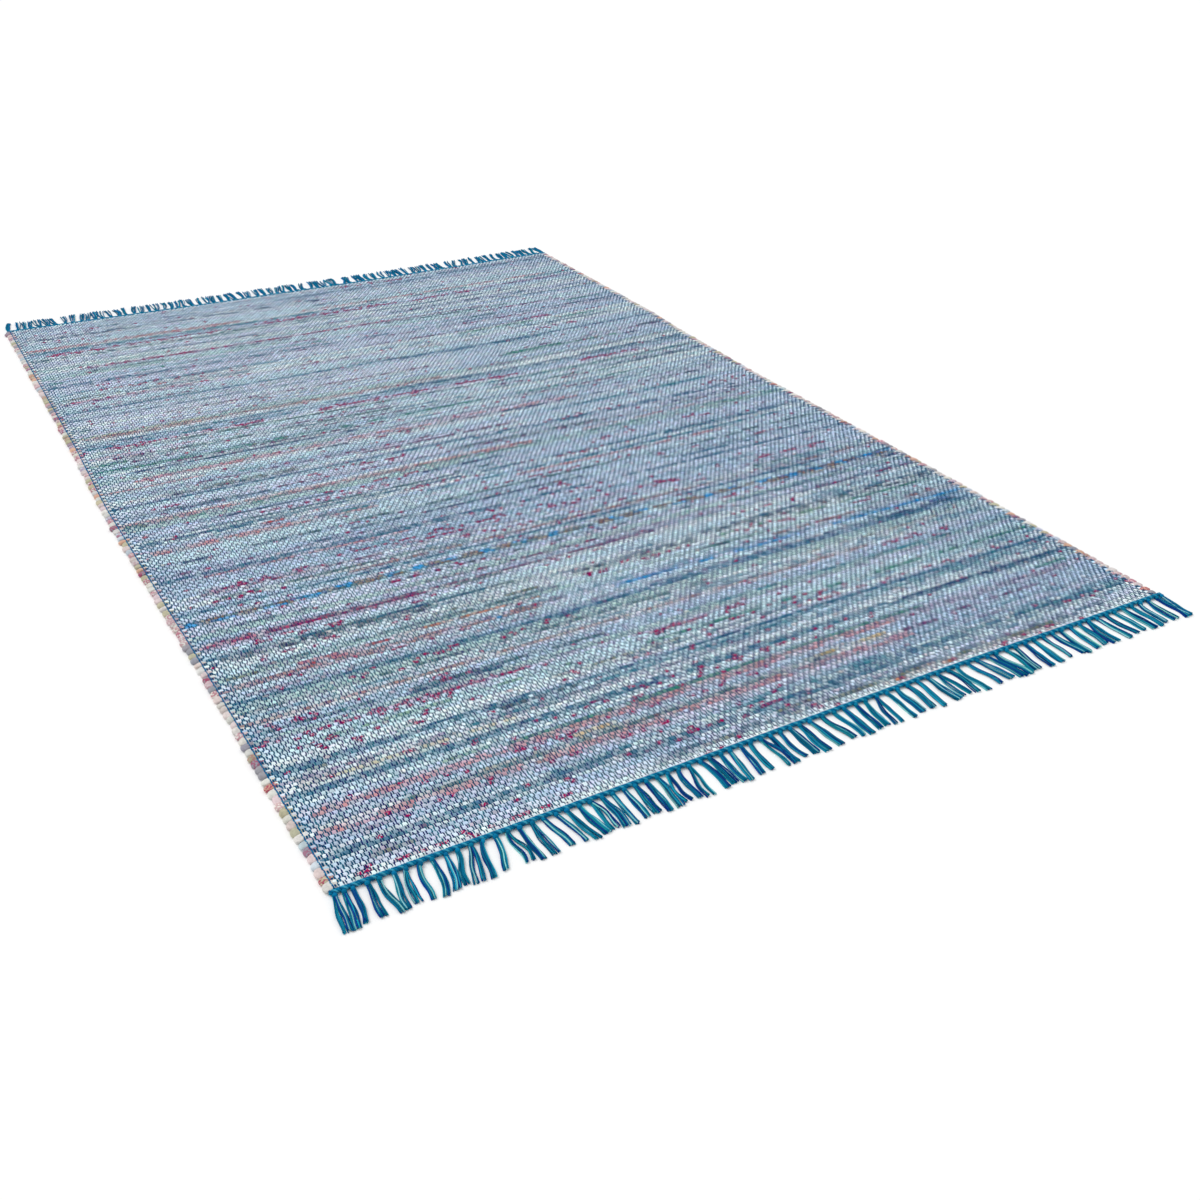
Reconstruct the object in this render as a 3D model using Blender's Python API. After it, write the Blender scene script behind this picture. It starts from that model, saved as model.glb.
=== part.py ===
"""A hand-woven rag rug, lying flat.

One plain-woven cloth of cotton rag picks on a cotton warp lies between two twined
headers, and each header carries a fringe of gathered warp ends.
X runs across the rug, Y along it from the near end to the far end, and Z up.
The origin is on the floor under the middle of the rug.
"""

import math

import bmesh
import bpy

MM = 0.001

# The cloth's thickness, and the ridge that each rag pick raises across it.
PICKS = 305
RIDGE_HEIGHT = 5.0 * MM
VALLEY_HEIGHT = 4.2 * MM

# A rag turns back at the side as a rounded loop, one for a pick out and a pick back.
PICKS_IN_LOOP = 2
LOOP_BULGE = 2.4 * MM
SHOULDER_INSET = 3.4 * MM
SHOULDER_DROP = 0.5 * MM

# The cloth's ends drift a little, as the weaver's beat does.
# Columns: x across the rug, near end's y, far end's y.
END_LINES = (
    (-0.596, -0.9043, 0.8970),
    (-0.200, -0.9015, 0.8890),
    (0.200, -0.8965, 0.8890),
    (0.606, -0.8985, 0.9045),
)

# The cloth's sides bow, the left one outwards and the right one inwards.
# Columns: share of the length from the near end, x of the notches between loops at left, at right.
SIDE_LINES = (
    (0.00, -0.6008, 0.6040),
    (0.25, -0.6031, 0.6060),
    (0.52, -0.6102, 0.5986),
    (0.66, -0.6046, 0.6016),
    (0.74, -0.6044, 0.6096),
    (1.00, -0.6026, 0.6081),
)

# The twined header, a cord laid along each end of the cloth.
PARTING = 0.3 * MM
HEADER_WIDTH = 5.0 * MM
HEADER_HEIGHT = 4.6 * MM
HEADER_SHOULDER = 0.9 * MM
HEADER_LEFT_X = -0.6000
HEADER_RIGHT_X = 0.6085

# The fringe's locks, each a knotted group of warp ends that spreads to its cut end.
LOCK_ROOT_WIDTH = 4.6 * MM
LOCK_LENGTH = 55.0 * MM
LOCK_LENGTH_VARIES = 2.5 * MM
LOCK_CUT_WIDTH = 7.4 * MM
LOCK_WIDTH_VARIES = 1.8 * MM
LOCK_CLEARANCE = 0.5 * MM

# Columns: share of a lock's length, its height there, its width as a share of the cut end's.
LOCK_STATIONS = (
    (0.34, 3.0 * MM, 0.78),
    (1.00, 1.8 * MM, 1.00),
)

# Where the locks stand along a header: the spacing changes only at these locks.
# Columns: number of the lock, x of its root.
NEAR_ROOTS = (
    (0, -0.5955),
    (2, -0.5765),
    (42, -0.0065),
    (43, 0.0140),
    (78, 0.5960),
    (79, 0.6055),
)
FAR_ROOTS = (
    (0, -0.5960),
    (79, 0.6040),
)

# How the locks fall sideways: neighbours in between follow on evenly.
# Columns: number of the lock, shift of its cut end from its root in millimetres.
NEAR_FALLS = (
    (0, -6), (2, -6), (3, -2), (4, 3), (5, -6), (8, -8), (11, -14), (13, -12), (14, 1), (16, 1),
    (17, 9), (19, 9), (22, 1), (27, -2), (30, -5), (31, 4), (32, 2), (34, -7), (36, -4), (37, 6),
    (38, 0), (41, 2), (42, 7), (43, 9), (44, 3), (48, -9), (49, 0), (52, -3), (53, 5), (56, 3),
    (58, 13), (60, 6), (62, -6), (65, -1), (66, 6), (67, -3), (70, -4), (71, 6), (75, 1), (76, -6),
    (78, 1), (79, -2),
)
FAR_FALLS = (
    (0, 6), (2, 2), (5, -3), (6, -7), (7, 5), (9, 8), (11, 1), (13, -5), (14, 0), (16, 9),
    (18, 4), (21, 8), (24, 1), (27, 6), (30, -3), (33, 7), (36, 10), (39, 2), (41, 9), (44, 2),
    (47, 8), (50, 3), (53, 10), (55, 4), (58, 9), (62, 2), (65, 11), (69, 5), (72, 10), (75, 4),
    (79, 3),
)


def along_table(table, at, column):
    """Value in a table's column, found between its rows on straight lines."""
    for low, high in zip(table, table[1:]):
        if at <= high[0]:
            share = (at - low[0]) / (high[0] - low[0])
            return low[column] + (high[column] - low[column]) * max(share, 0.0)
    return table[-1][column]


def fabric(name, color, roughness):
    """A cloth material with one colour."""
    material = bpy.data.materials.new(name)
    material.use_nodes = True
    shader = material.node_tree.nodes["Principled BSDF"]
    shader.inputs["Base Color"].default_value = (*color, 1.0)
    shader.inputs["Roughness"].default_value = roughness
    shader.inputs["Metallic"].default_value = 0.0
    material.diffuse_color = (*color, 1.0)
    return material


def start_grid(name, columns, rows, collection):
    """A flat grid object, and its mesh open for editing with each point's column and row."""
    bpy.ops.mesh.primitive_grid_add(x_subdivisions=columns, y_subdivisions=rows, size=1.0)
    piece = bpy.context.object
    piece.name = name
    piece.data.name = name
    for other in list(piece.users_collection):
        other.objects.unlink(piece)
    collection.objects.link(piece)
    mesh = bmesh.new()
    mesh.from_mesh(piece.data)
    column = mesh.verts.layers.int.new("column")
    row = mesh.verts.layers.int.new("row")
    for vert in mesh.verts:
        vert[column] = round((vert.co.x + 0.5) * columns)
        vert[row] = round((vert.co.y + 0.5) * rows)
    return piece, mesh, column, row


def finish_mesh(piece, mesh, material):
    """Close the editing of a piece and give it its material."""
    bmesh.ops.recalc_face_normals(mesh, faces=mesh.faces[:])
    mesh.to_mesh(piece.data)
    mesh.free()
    for layer in ("column", "row"):
        piece.data.attributes.remove(piece.data.attributes[layer])
    piece.data.materials.clear()
    piece.data.materials.append(material)


def extrude_all(mesh):
    """Close an open grid with a copy of itself, and return the copy's points."""
    made = bmesh.ops.extrude_face_region(mesh, geom=mesh.faces[:], use_keep_orig=True)
    return [item for item in made["geom"] if isinstance(item, bmesh.types.BMVert)]


def cloth_point(column, row):
    """Place of a point of the cloth's upper face: six columns, two rows for each pick."""
    rows = 2 * PICKS
    share = row / rows
    rows_in_loop = 2 * PICKS_IN_LOOP
    bulge = LOOP_BULGE * math.sin(math.pi * (row % rows_in_loop) / rows_in_loop)
    left_tip = along_table(SIDE_LINES, share, 1) - bulge
    right_tip = along_table(SIDE_LINES, share, 2) + bulge
    rib = RIDGE_HEIGHT if row % 2 else VALLEY_HEIGHT
    shoulder = rib - SHOULDER_DROP
    x, z = (
        (left_tip, 0.0),
        (left_tip + SHOULDER_INSET, shoulder),
        (END_LINES[1][0], rib),
        (END_LINES[2][0], rib),
        (right_tip - SHOULDER_INSET, shoulder),
        (right_tip, 0.0),
    )[column]
    near = along_table(END_LINES, x, 1)
    far = along_table(END_LINES, x, 2)
    return x, near + (far - near) * share, z


def build_cloth(collection, material):
    """The woven cloth: a flat slab with a ridge for each pick and rag loops down its sides."""
    piece, mesh, column, row = start_grid("rag_cloth", 5, 2 * PICKS, collection)
    for vert in mesh.verts:
        vert.co = cloth_point(vert[column], vert[row])
    for vert in extrude_all(mesh):
        vert.co.z = 0.0
    bmesh.ops.remove_doubles(mesh, verts=mesh.verts[:], dist=0.001 * MM)
    underside = [face for face in mesh.faces if all(vert.co.z < 0.1 * MM for vert in face.verts)]
    bmesh.ops.dissolve_faces(mesh, faces=underside)
    finish_mesh(piece, mesh, material)
    return piece


def lock_places(roots, falls):
    """Root x, cut end's x, cut end's width and length of each lock, left to right."""
    count = roots[-1][0] + 1
    root_x = [along_table(roots, lock, 1) + 0.7 * MM * math.sin(2.9 * lock) for lock in range(count)]
    cut_x = [x + along_table(falls, lock, 1) * MM for lock, x in enumerate(root_x)]
    places = []
    for lock, x in enumerate(cut_x):
        room = min(abs(x - other) for number, other in enumerate(cut_x) if number != lock)
        wave = math.sin(2.4 * lock) + 0.5 * math.sin(5.1 * lock + 1.0)
        wanted = LOCK_CUT_WIDTH + LOCK_WIDTH_VARIES * wave
        width = min(wanted, room - LOCK_CLEARANCE)
        length = LOCK_LENGTH + LOCK_LENGTH_VARIES * math.sin(1.7 * lock + 0.6)
        places.append((root_x[lock], x, width, length))
    return places


def draw_out_lock(mesh, face, outwards, place):
    """Draw one face of the header out along the floor into a four-sided lock."""
    root_x, cut_x, cut_width, length = place
    root_y = face.calc_center_median().y
    for share, height, width_share in LOCK_STATIONS:
        face = bmesh.ops.extrude_discrete_faces(mesh, faces=[face])["faces"][0]
        middle_x = face.calc_center_median().x
        middle_z = face.calc_center_median().z
        x = root_x + (cut_x - root_x) * share
        half = cut_width * width_share / 2
        for vert in face.verts:
            upper = vert.co.z > middle_z
            vert.co.x = x + (half if vert.co.x > middle_x else -half) * (0.8 if upper else 1.0)
            vert.co.y = root_y + outwards * length * share
            vert.co.z = height if upper else 0.0


def build_fringe(name, end_column, outwards, roots, falls, collection, material):
    """One end's header with its fringe, a strip parted from the cloth's edge."""
    places = lock_places(roots, falls)
    half = LOCK_ROOT_WIDTH / 2
    cuts = [HEADER_LEFT_X]
    for root_x, _cut_x, _width, _length in places:
        cuts += [root_x - half, root_x + half]
    cuts.append(HEADER_RIGHT_X)
    piece, mesh, column, row = start_grid(name, len(cuts) - 1, 1, collection)

    def header_y(x, out):
        return along_table(END_LINES, x, end_column) + outwards * (PARTING + out)

    for vert in mesh.verts:
        x = cuts[vert[column]]
        vert.co = (x, header_y(x, HEADER_WIDTH * vert[row]), 0.0)
    for vert in extrude_all(mesh):
        inset = HEADER_SHOULDER if vert[row] == 0 else -HEADER_SHOULDER
        vert.co.y += outwards * inset
        vert.co.z = HEADER_HEIGHT
    outer_faces = {}
    for face in mesh.faces:
        heights = {vert.co.z > 0.0 for vert in face.verts}
        if all(vert[row] == 1 for vert in face.verts) and len(heights) == 2:
            outer_faces[min(vert[column] for vert in face.verts)] = face
    for lock, place in enumerate(places):
        draw_out_lock(mesh, outer_faces[2 * lock + 1], outwards, place)
    finish_mesh(piece, mesh, material)
    return piece


def main():
    for item in list(bpy.data.objects):
        bpy.data.objects.remove(item)
    collection = bpy.data.collections.new("rag_rug")
    bpy.context.scene.collection.children.link(collection)
    rag = fabric("rag_cloth", (0.48, 0.56, 0.63), 0.9)
    warp = fabric("warp_cotton", (0.02, 0.22, 0.36), 0.85)
    build_cloth(collection, rag)
    build_fringe("fringe_near", 1, -1.0, NEAR_ROOTS, NEAR_FALLS, collection, warp)
    build_fringe("fringe_far", 2, 1.0, FAR_ROOTS, FAR_FALLS, collection, warp)


main()
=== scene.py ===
"""Looks of a hand-woven rag rug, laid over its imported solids.

The cloth is built as its real weave: fat rag picks that lie across the rug, and pairs of thin
warp ends that run along it and cross every pick, over one and under the next.
Each visible length of rag is a small rounded cushion, and each warp float a small ridge.
X runs across the rug, Y along it from the near end to the far end, and Z up, in metres.
"""

import math

import bpy
import numpy as np
from mathutils import Matrix


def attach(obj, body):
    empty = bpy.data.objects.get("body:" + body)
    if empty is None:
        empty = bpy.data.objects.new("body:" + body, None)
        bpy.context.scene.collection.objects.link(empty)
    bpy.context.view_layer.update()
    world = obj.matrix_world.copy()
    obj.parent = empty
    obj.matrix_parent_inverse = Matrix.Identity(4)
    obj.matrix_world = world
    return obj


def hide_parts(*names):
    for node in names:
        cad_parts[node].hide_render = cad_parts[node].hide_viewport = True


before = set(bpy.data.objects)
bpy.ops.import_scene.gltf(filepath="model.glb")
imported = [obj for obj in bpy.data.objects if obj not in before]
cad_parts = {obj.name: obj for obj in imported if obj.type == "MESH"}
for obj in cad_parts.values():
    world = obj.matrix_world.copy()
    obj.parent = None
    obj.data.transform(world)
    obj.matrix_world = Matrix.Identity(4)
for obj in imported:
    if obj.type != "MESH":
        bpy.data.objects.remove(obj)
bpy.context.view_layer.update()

BODY = "root"
MM = 0.001
TURN = 2.0 * math.pi
SEED = 41

# The cloth: 305 rag picks, woven on 277 pairs of warp ends.
PICKS = 305
ENDS = 277
FLAT_SIZE = (1.2, 1.8)
SELVEDGE_WIDTH = 7.0 * MM

# The cloth's ends and sides, as its solid has them.
# Columns: x across the rug, near end's y, far end's y.
END_LINES = (
    (-0.596, -0.9043, 0.8970),
    (-0.200, -0.9015, 0.8890),
    (0.200, -0.8965, 0.8890),
    (0.606, -0.8985, 0.9045),
)

# Columns: share of the length from the near end, x of the notches between loops at left, at right.
SIDE_LINES = (
    (0.00, -0.6008, 0.6040),
    (0.25, -0.6031, 0.6060),
    (0.52, -0.6102, 0.5986),
    (0.66, -0.6046, 0.6016),
    (0.74, -0.6044, 0.6096),
    (1.00, -0.6026, 0.6081),
)

# How the weaver's beat bends the picks between the two ends.
# Columns: share of the length, shift in millimetres at the shares of the width in BEAT_STATIONS.
BEAT_STATIONS = (0.0, 0.25, 0.5, 0.7, 1.0)
BEAT_LINES = (
    (0.00, 0.0, 0.0, 0.0, 0.0, 0.0),
    (0.07, 0.0, 0.8, 2.5, 2.8, 1.2),
    (0.16, 0.0, -0.8, -3.2, -4.1, -3.7),
    (0.32, 0.0, -2.5, -4.7, -6.1, -6.3),
    (0.51, 0.0, 0.9, -1.6, -7.7, -7.7),
    (0.73, 0.0, 2.1, -1.5, -9.2, -9.3),
    (0.85, 0.0, 3.0, 1.2, -3.0, -8.9),
    (0.92, 0.0, 2.4, 0.8, 2.8, -1.2),
    (1.00, 0.0, 0.0, 0.0, 0.0, 0.0),
)

# How unevenly the warp ends and the picks lie beside each other.
# Both die away towards the cloth's edges, the more steeply the smaller SIDE_CALM is.
# Columns: size of the shift, turn from one thread to the next, turn along the thread, start.
SIDE_CALM = 0.2
WARP_WAVES = (
    (0.40 * MM, 1.90, 0.043, 0.0),
    (0.30 * MM, 0.70, -0.110, 2.0),
)
PICK_WAVES = (
    (0.55 * MM, 1.30, 0.026, 0.5),
    (0.45 * MM, 0.47, -0.051, 1.7),
    (0.30 * MM, 2.60, 0.090, 4.0),
)

# A visible length of rag: a cushion over one warp crossing, pinched under the next at both sides.
# Columns: warp ends from its middle, picks from its middle, height, share of the seeded unevenness.
RAG_POINTS = (
    (-1.0, -0.5, 3.85 * MM, 0.0),
    (1.0, -0.5, 3.85 * MM, 0.0),
    (1.0, 0.5, 3.85 * MM, 0.0),
    (-1.0, 0.5, 3.85 * MM, 0.0),
    (-1.0, 0.0, 4.80 * MM, 0.0),
    (1.0, 0.0, 4.80 * MM, 0.0),
    (0.0, -0.2, 5.00 * MM, 1.0),
    (0.0, 0.2, 5.00 * MM, 1.0),
)
RAG_FACES = (
    (0, 1, 6), (0, 6, 4), (1, 5, 6), (2, 3, 7), (3, 4, 7), (2, 7, 5), (4, 6, 7), (5, 7, 6),
)

# How far a cushion's edge lies over the next pick, how unevenly its points and the whole cushion
# lie, and how much its dye varies.
RAG_OVERLAP = 0.15 * MM
RAG_HEIGHT_VARIES = 0.15 * MM
RAG_SHIFT_VARIES = 0.30 * MM
RAG_SWAY = (0.15 * MM, 0.45 * MM)
RAG_DYE_VARIES = 0.07

# The rags and the floats are each made as a few strips, which lie side by side along the rug.
STRIPS = 4

# Each strip's map has its near and its far half side by side.
MAP_HALF = 0.92
MAP_MARGIN = 0.002

# A warp end's float over a pick, one of a pair: it reaches past its pick by FLOAT_REACH picks and
# falls by FLOAT_FALL in each of them.
PAIR_HALF_GAP = 1.45 * MM
FLOAT_WIDTH = 1.80 * MM
FLOAT_REACH = 2.0
FLOAT_TOP_Z = 5.45 * MM
FLOAT_EDGE_Z = 4.95 * MM
FLOAT_FALL = 1.75 * MM
FLOAT_SHIFT_VARIES = 0.20 * MM
FLOAT_RISE_VARIES = 0.08 * MM
FLOAT_DYE_VARIES = 0.08

# A float's five points on its map. Columns: share of the yarn's width, share of the pick.
FLOAT_MAP = ((0.5, 0.05), (0.12, 0.5), (0.5, 0.5), (0.88, 0.5), (0.5, 0.95))
FLOAT_FACES = ((0, 2, 1), (0, 3, 2), (4, 1, 2), (4, 2, 3))

# The outermost warp ends are drawn tighter, so their yarns show wider.
SIDE_FLOAT_GAIN = 0.4
SIDE_FLOAT_ENDS = 4.0

# The ground under the weave, which closes the cloth below.
GROUND_COLUMNS = 9
GROUND_TOP_Z = 3.1 * MM
GROUND_RIDGE_Z = 0.05 * MM
GROUND_VALLEY_Z = 0.7 * MM
GROUND_INSET = 3.0 * MM

# The loops in which the rags turn back at the sides.
PICKS_IN_LOOP = 2
LOOP_REACH = 2.8 * MM
LOOP_ROOT = 15.5 * MM
LOOP_SLANT = 3.0 * MM
LOOP_OVERLAP = 0.45 * MM
LOOP_HALF_HEIGHT = 2.45 * MM
LOOP_MIDDLE_Z = 2.5 * MM
LOOP_SIDES = 12
LOOP_SQUARENESS = 0.75
LOOP_REACH_VARIES = 0.8 * MM
LOOP_SIZE_VARIES = 0.12
LOOP_DYE_VARIES = 0.06

# Columns: share of a loop's length from its tip, its width there, its height there.
LOOP_STATIONS = (
    (0.015, 0.30, 0.34),
    (0.07, 0.62, 0.68),
    (0.17, 0.86, 0.90),
    (0.32, 1.00, 1.00),
    (0.55, 1.00, 1.00),
    (0.80, 0.96, 0.90),
    (1.00, 0.80, 0.62),
)
LOOP_SLANT_PIVOT = 0.4

# Folds around a loop. Columns: depth, folds around it, share of its seeded turn, turn along it.
LOOP_FOLDS = (
    (0.11, 2.0, 1.0, 3.0),
    (0.05, 5.0, -2.0, 6.0),
)

# Share of the loops that are printed in red, and how much of the print shows on them.
LOOP_PRINTED = 0.35
LOOP_PRINT_SHOWS = (0.3, 0.8)

# The twisted yarn that runs down each side as the outermost warp end.
EDGE_YARN_RADIUS = 0.72 * MM
EDGE_YARN_TWIST_RADIUS = 0.55 * MM
EDGE_YARN_TWIST = 9.0 * MM
EDGE_YARN_STEP = 2.2 * MM
EDGE_YARN_WAVE = 0.3 * MM

# Height of its middle, for the side at left, -1, and the side at right, 1.
EDGE_YARN_Z = {-1: 4.6 * MM, 1: 3.9 * MM}

# The header: a rope of three strands along each end of the cloth.
PARTING = 0.3 * MM
HEADER_WIDTH = 5.0 * MM
HEADER_Z = 3.1 * MM
HEADER_FLATNESS = 0.78
HEADER_OUT = 2.2 * MM
HEADER_LEFT_X = -0.6000
HEADER_RIGHT_X = 0.6085
STRANDS = 3
STRAND_RADIUS = 1.60 * MM
STRAND_TWIST_RADIUS = 1.90 * MM
STRAND_TWIST = 10.0 * MM
STRAND_STEP = 1.5 * MM
STRAND_SIDES = 5

# Each strand swells and thins along the rope, and its turn differs from strand to strand.
STRAND_SWELL = 0.10
STRAND_SWELL_LENGTH = 17.0 * MM
STRAND_SWELL_TURN = 2.1
STRAND_END_SHARE = 0.6

# A knot's half sizes across, along and up, and its rings' places along it, as shares of the half.
KNOT_SIZE = (3.0 * MM, 3.08 * MM, 2.7 * MM)
KNOT_STATIONS = (-0.98, -0.6, 0.0, 0.6, 0.98)
KNOT_SIDES = 8
KNOT_OUT = 2.0 * MM
KNOT_LEAN_VARIES = 0.5 * MM
KNOT_SIZE_VARIES = 0.08

# The fringe's locks, where their solids have them, and a millimetre wider at the cut end.
LOCK_LENGTH = 55.0 * MM
LOCK_CUT_WIDTH = 8.4 * MM
LOCK_OVERLAP = 1.5 * MM

# How unevenly the locks stand, spread and are cut.
# Columns: size of the difference, turn from one lock to the next, start.
ROOT_WAVES = ((0.7 * MM, 2.9, 0.0),)
WIDTH_WAVES = ((1.8 * MM, 2.4, 0.0), (0.9 * MM, 5.1, 1.0))
LENGTH_WAVES = ((2.5 * MM, 1.7, 0.6),)

# A lock's yarns: they leave their knot side by side and one above another, spread within the first
# part of the length, bow once and twice with their lock, wiggle by themselves and come down to the
# floor in two layers.
YARNS = 8
YARN_RADIUS = 0.88 * MM
YARN_RADIUS_VARIES = 0.14
YARN_DYE_VARIES = 0.12
YARN_SIDES = 4
YARN_RINGS = 13
YARN_OUT = 3.0 * MM
YARN_ROOT_SPACING = 0.55 * MM
YARN_LEAST_SPACING = 0.4 * MM
YARN_ORDER_VARIES = 1.3
SPREAD_LENGTH = 1.0 / 1.7
BOWS_VARY = (1.7 * MM, 0.7 * MM)
WIGGLE = 0.40 * MM
WIGGLES = 1.8
YARN_ROOT_Z = (2.1 * MM, 3.1 * MM)
YARN_LOW_Z = 1.02 * YARN_RADIUS
LAYER_RISE = 1.35 * YARN_RADIUS
SETTLE_LENGTH = 0.4
RIPPLE = 0.12 * MM
RIPPLE_TURNS = (3.0, 5.0)
FLOOR_GAP = 0.02 * MM

# How much thinner a yarn is at its root, over which share of its length, and how much thicker at
# its cut end, from which share on.
ROOT_THINNER = (0.22, 0.25)
CUT_THICKER = (0.10, 0.8)

# How far single yarns and whole locks stray sideways at their cut ends, and how unevenly long the
# yarns are. The near end is combed, the far end tangled.
NEAR_STRAY = (0.3 * MM, 0.0, 0.018)
FAR_STRAY = (2.2 * MM, 2.5 * MM, 0.055)

# Columns: number of the lock, x of its root.
NEAR_ROOTS = (
    (0, -0.5955),
    (2, -0.5765),
    (42, -0.0065),
    (43, 0.0140),
    (78, 0.5960),
    (79, 0.6055),
)
FAR_ROOTS = (
    (0, -0.5960),
    (79, 0.6040),
)

# Columns: number of the lock, shift of its cut end from its root in millimetres.
NEAR_FALLS = (
    (0, -6), (2, -6), (3, -2), (4, 3), (5, -6), (8, -8), (11, -14), (13, -12), (14, 1), (16, 1),
    (17, 9), (19, 9), (22, 1), (27, -2), (30, -5), (31, 4), (32, 2), (34, -7), (36, -4), (37, 6),
    (38, 0), (41, 2), (42, 7), (43, 9), (44, 3), (48, -9), (49, 0), (52, -3), (53, 5), (56, 3),
    (58, 13), (60, 6), (62, -6), (65, -1), (66, 6), (67, -3), (70, -4), (71, 6), (75, 1), (76, -6),
    (78, 1), (79, -2),
)
FAR_FALLS = (
    (0, 6), (2, 2), (5, -3), (6, -7), (7, 5), (9, 8), (11, 1), (13, -5), (14, 0), (16, 9),
    (18, 4), (21, 8), (24, 1), (27, 6), (30, -3), (33, 7), (36, 10), (39, 2), (41, 9), (44, 2),
    (47, 8), (50, 3), (53, 10), (55, 4), (58, 9), (62, 2), (65, 11), (69, 5), (72, 10), (75, 4),
    (79, 3),
)

# Locks that spread wider than the others.
# Columns: number of the lock, width at its cut end in millimetres.
NEAR_WIDE = (
    (0, 12.0), (16, 11.0), (20, 10.5), (21, 11.0), (22, 10.5), (25, 10.5), (37, 11.0), (41, 10.5),
    (42, 10.5), (50, 10.5), (54, 12.0), (60, 11.0), (70, 11.0), (77, 11.0), (78, 10.5),
)
FAR_WIDE = (
    (3, 10.5), (10, 11.0), (17, 11.0), (24, 10.5), (33, 11.0), (40, 10.5), (49, 11.0), (58, 10.5),
    (66, 11.0), (73, 10.5),
)

# Locks that lie parted in two tufts.
# Columns: number of the lock, gap between its tufts in millimetres.
NEAR_PARTED = (
    (11, 3.0), (14, 3.5), (21, 2.0), (28, 5.0), (30, 4.0), (37, 2.5), (48, 5.0), (54, 5.5), (60, 2.5),
    (70, 3.0), (77, 2.5),
)
FAR_PARTED = (
    (4, 3.0), (12, 4.0), (19, 3.0), (26, 4.0), (35, 3.0), (43, 4.0), (52, 3.0), (61, 4.0), (74, 3.0),
)

# The rags' colours, as red, green and blue in the display's values.
RAG_COLOURS = {
    "white": (0.91, 0.97, 1.00),
    "ice": (0.83, 0.93, 0.98),
    "lavender": (0.86, 0.91, 0.99),
    "mist": (0.77, 0.86, 0.95),
    "sage": (0.76, 0.87, 0.88),
    "cream": (0.80, 0.78, 0.66),
    "beige": (0.74, 0.70, 0.62),
    "tan": (0.56, 0.44, 0.34),
    "yellow": (0.85, 0.72, 0.42),
    "orange": (0.78, 0.48, 0.32),
    "salmon": (0.80, 0.55, 0.57),
    "russet": (0.66, 0.49, 0.48),
    "pink": (0.80, 0.66, 0.72),
    "mauve": (0.62, 0.60, 0.70),
    "sky": (0.08, 0.60, 0.88),
    "aqua": (0.48, 0.68, 0.72),
    "steel": (0.50, 0.66, 0.75),
    "slate": (0.42, 0.53, 0.62),
    "denim": (0.21, 0.44, 0.57),
    "blue": (0.14, 0.36, 0.66),
    "teal": (0.22, 0.52, 0.60),
    "seagreen": (0.40, 0.60, 0.56),
    "palegreen": (0.50, 0.66, 0.56),
    "green": (0.20, 0.54, 0.44),
    "forest": (0.30, 0.43, 0.44),
    "olive": (0.46, 0.47, 0.38),
    "navy": (0.22, 0.30, 0.45),
    "charcoal": (0.24, 0.28, 0.34),
    "plum": (0.46, 0.16, 0.38),
    "raspberry": (0.70, 0.16, 0.40),
    "red": (0.72, 0.16, 0.24),
}

# The red print: its colour, how much it tints the rag around a fleck, and the share of its charted
# cover at which it shows.
FLECK_COLOUR = (0.64, 0.02, 0.33)
FLECK_TINT = 0.30
FLECK_COVER = 0.75

# The pale rags of which most of the rug is woven, with their shares, and the least and most picks
# that one of them runs for.
PALE_RAGS = (
    ("white", 0.26), ("ice", 0.26), ("lavender", 0.22), ("mist", 0.20), ("sage", 0.06),
)
PALE_RAG_LENGTHS = (0.5, 2.6)
PALE_RAG_COUNT = 4 * PICKS

# Least and most of a coloured rag's face that shows, where it lies face up and where it is folded
# over to its paler back.
RAG_FACE_UP = (0.45, 0.95)
RAG_FACE_FOLDED = (0.10, 0.35)

# Dots of print on the rags, with their shares, the share of the crossings that have one, and how
# much of the strongest shows.
PRINT_DOTS = (
    ("navy", 0.22), ("plum", 0.16), ("green", 0.14), ("teal", 0.14), ("red", 0.08), ("orange", 0.06),
    ("white", 0.20),
)
PRINT_COVER = 0.30
PRINT_STRENGTH = 0.30

# The most crossings over which a rag keeps one face up: less where its print is fine.
FACE_LENGTH = 8
PRINT_LENGTHS = {"flecks": 1, "charcoal": 1, "raspberry": 2, "plum": 3}

# Share of all crossings where a red fleck of print shows.
STRAY_FLECKS = 0.014

# How much of a coloured rag swells over the picks before and after its own, and by how many warp
# ends its ends are uneven.
RAG_SWELL = 0.25
STRIP_END_VARIES = 2.0

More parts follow.
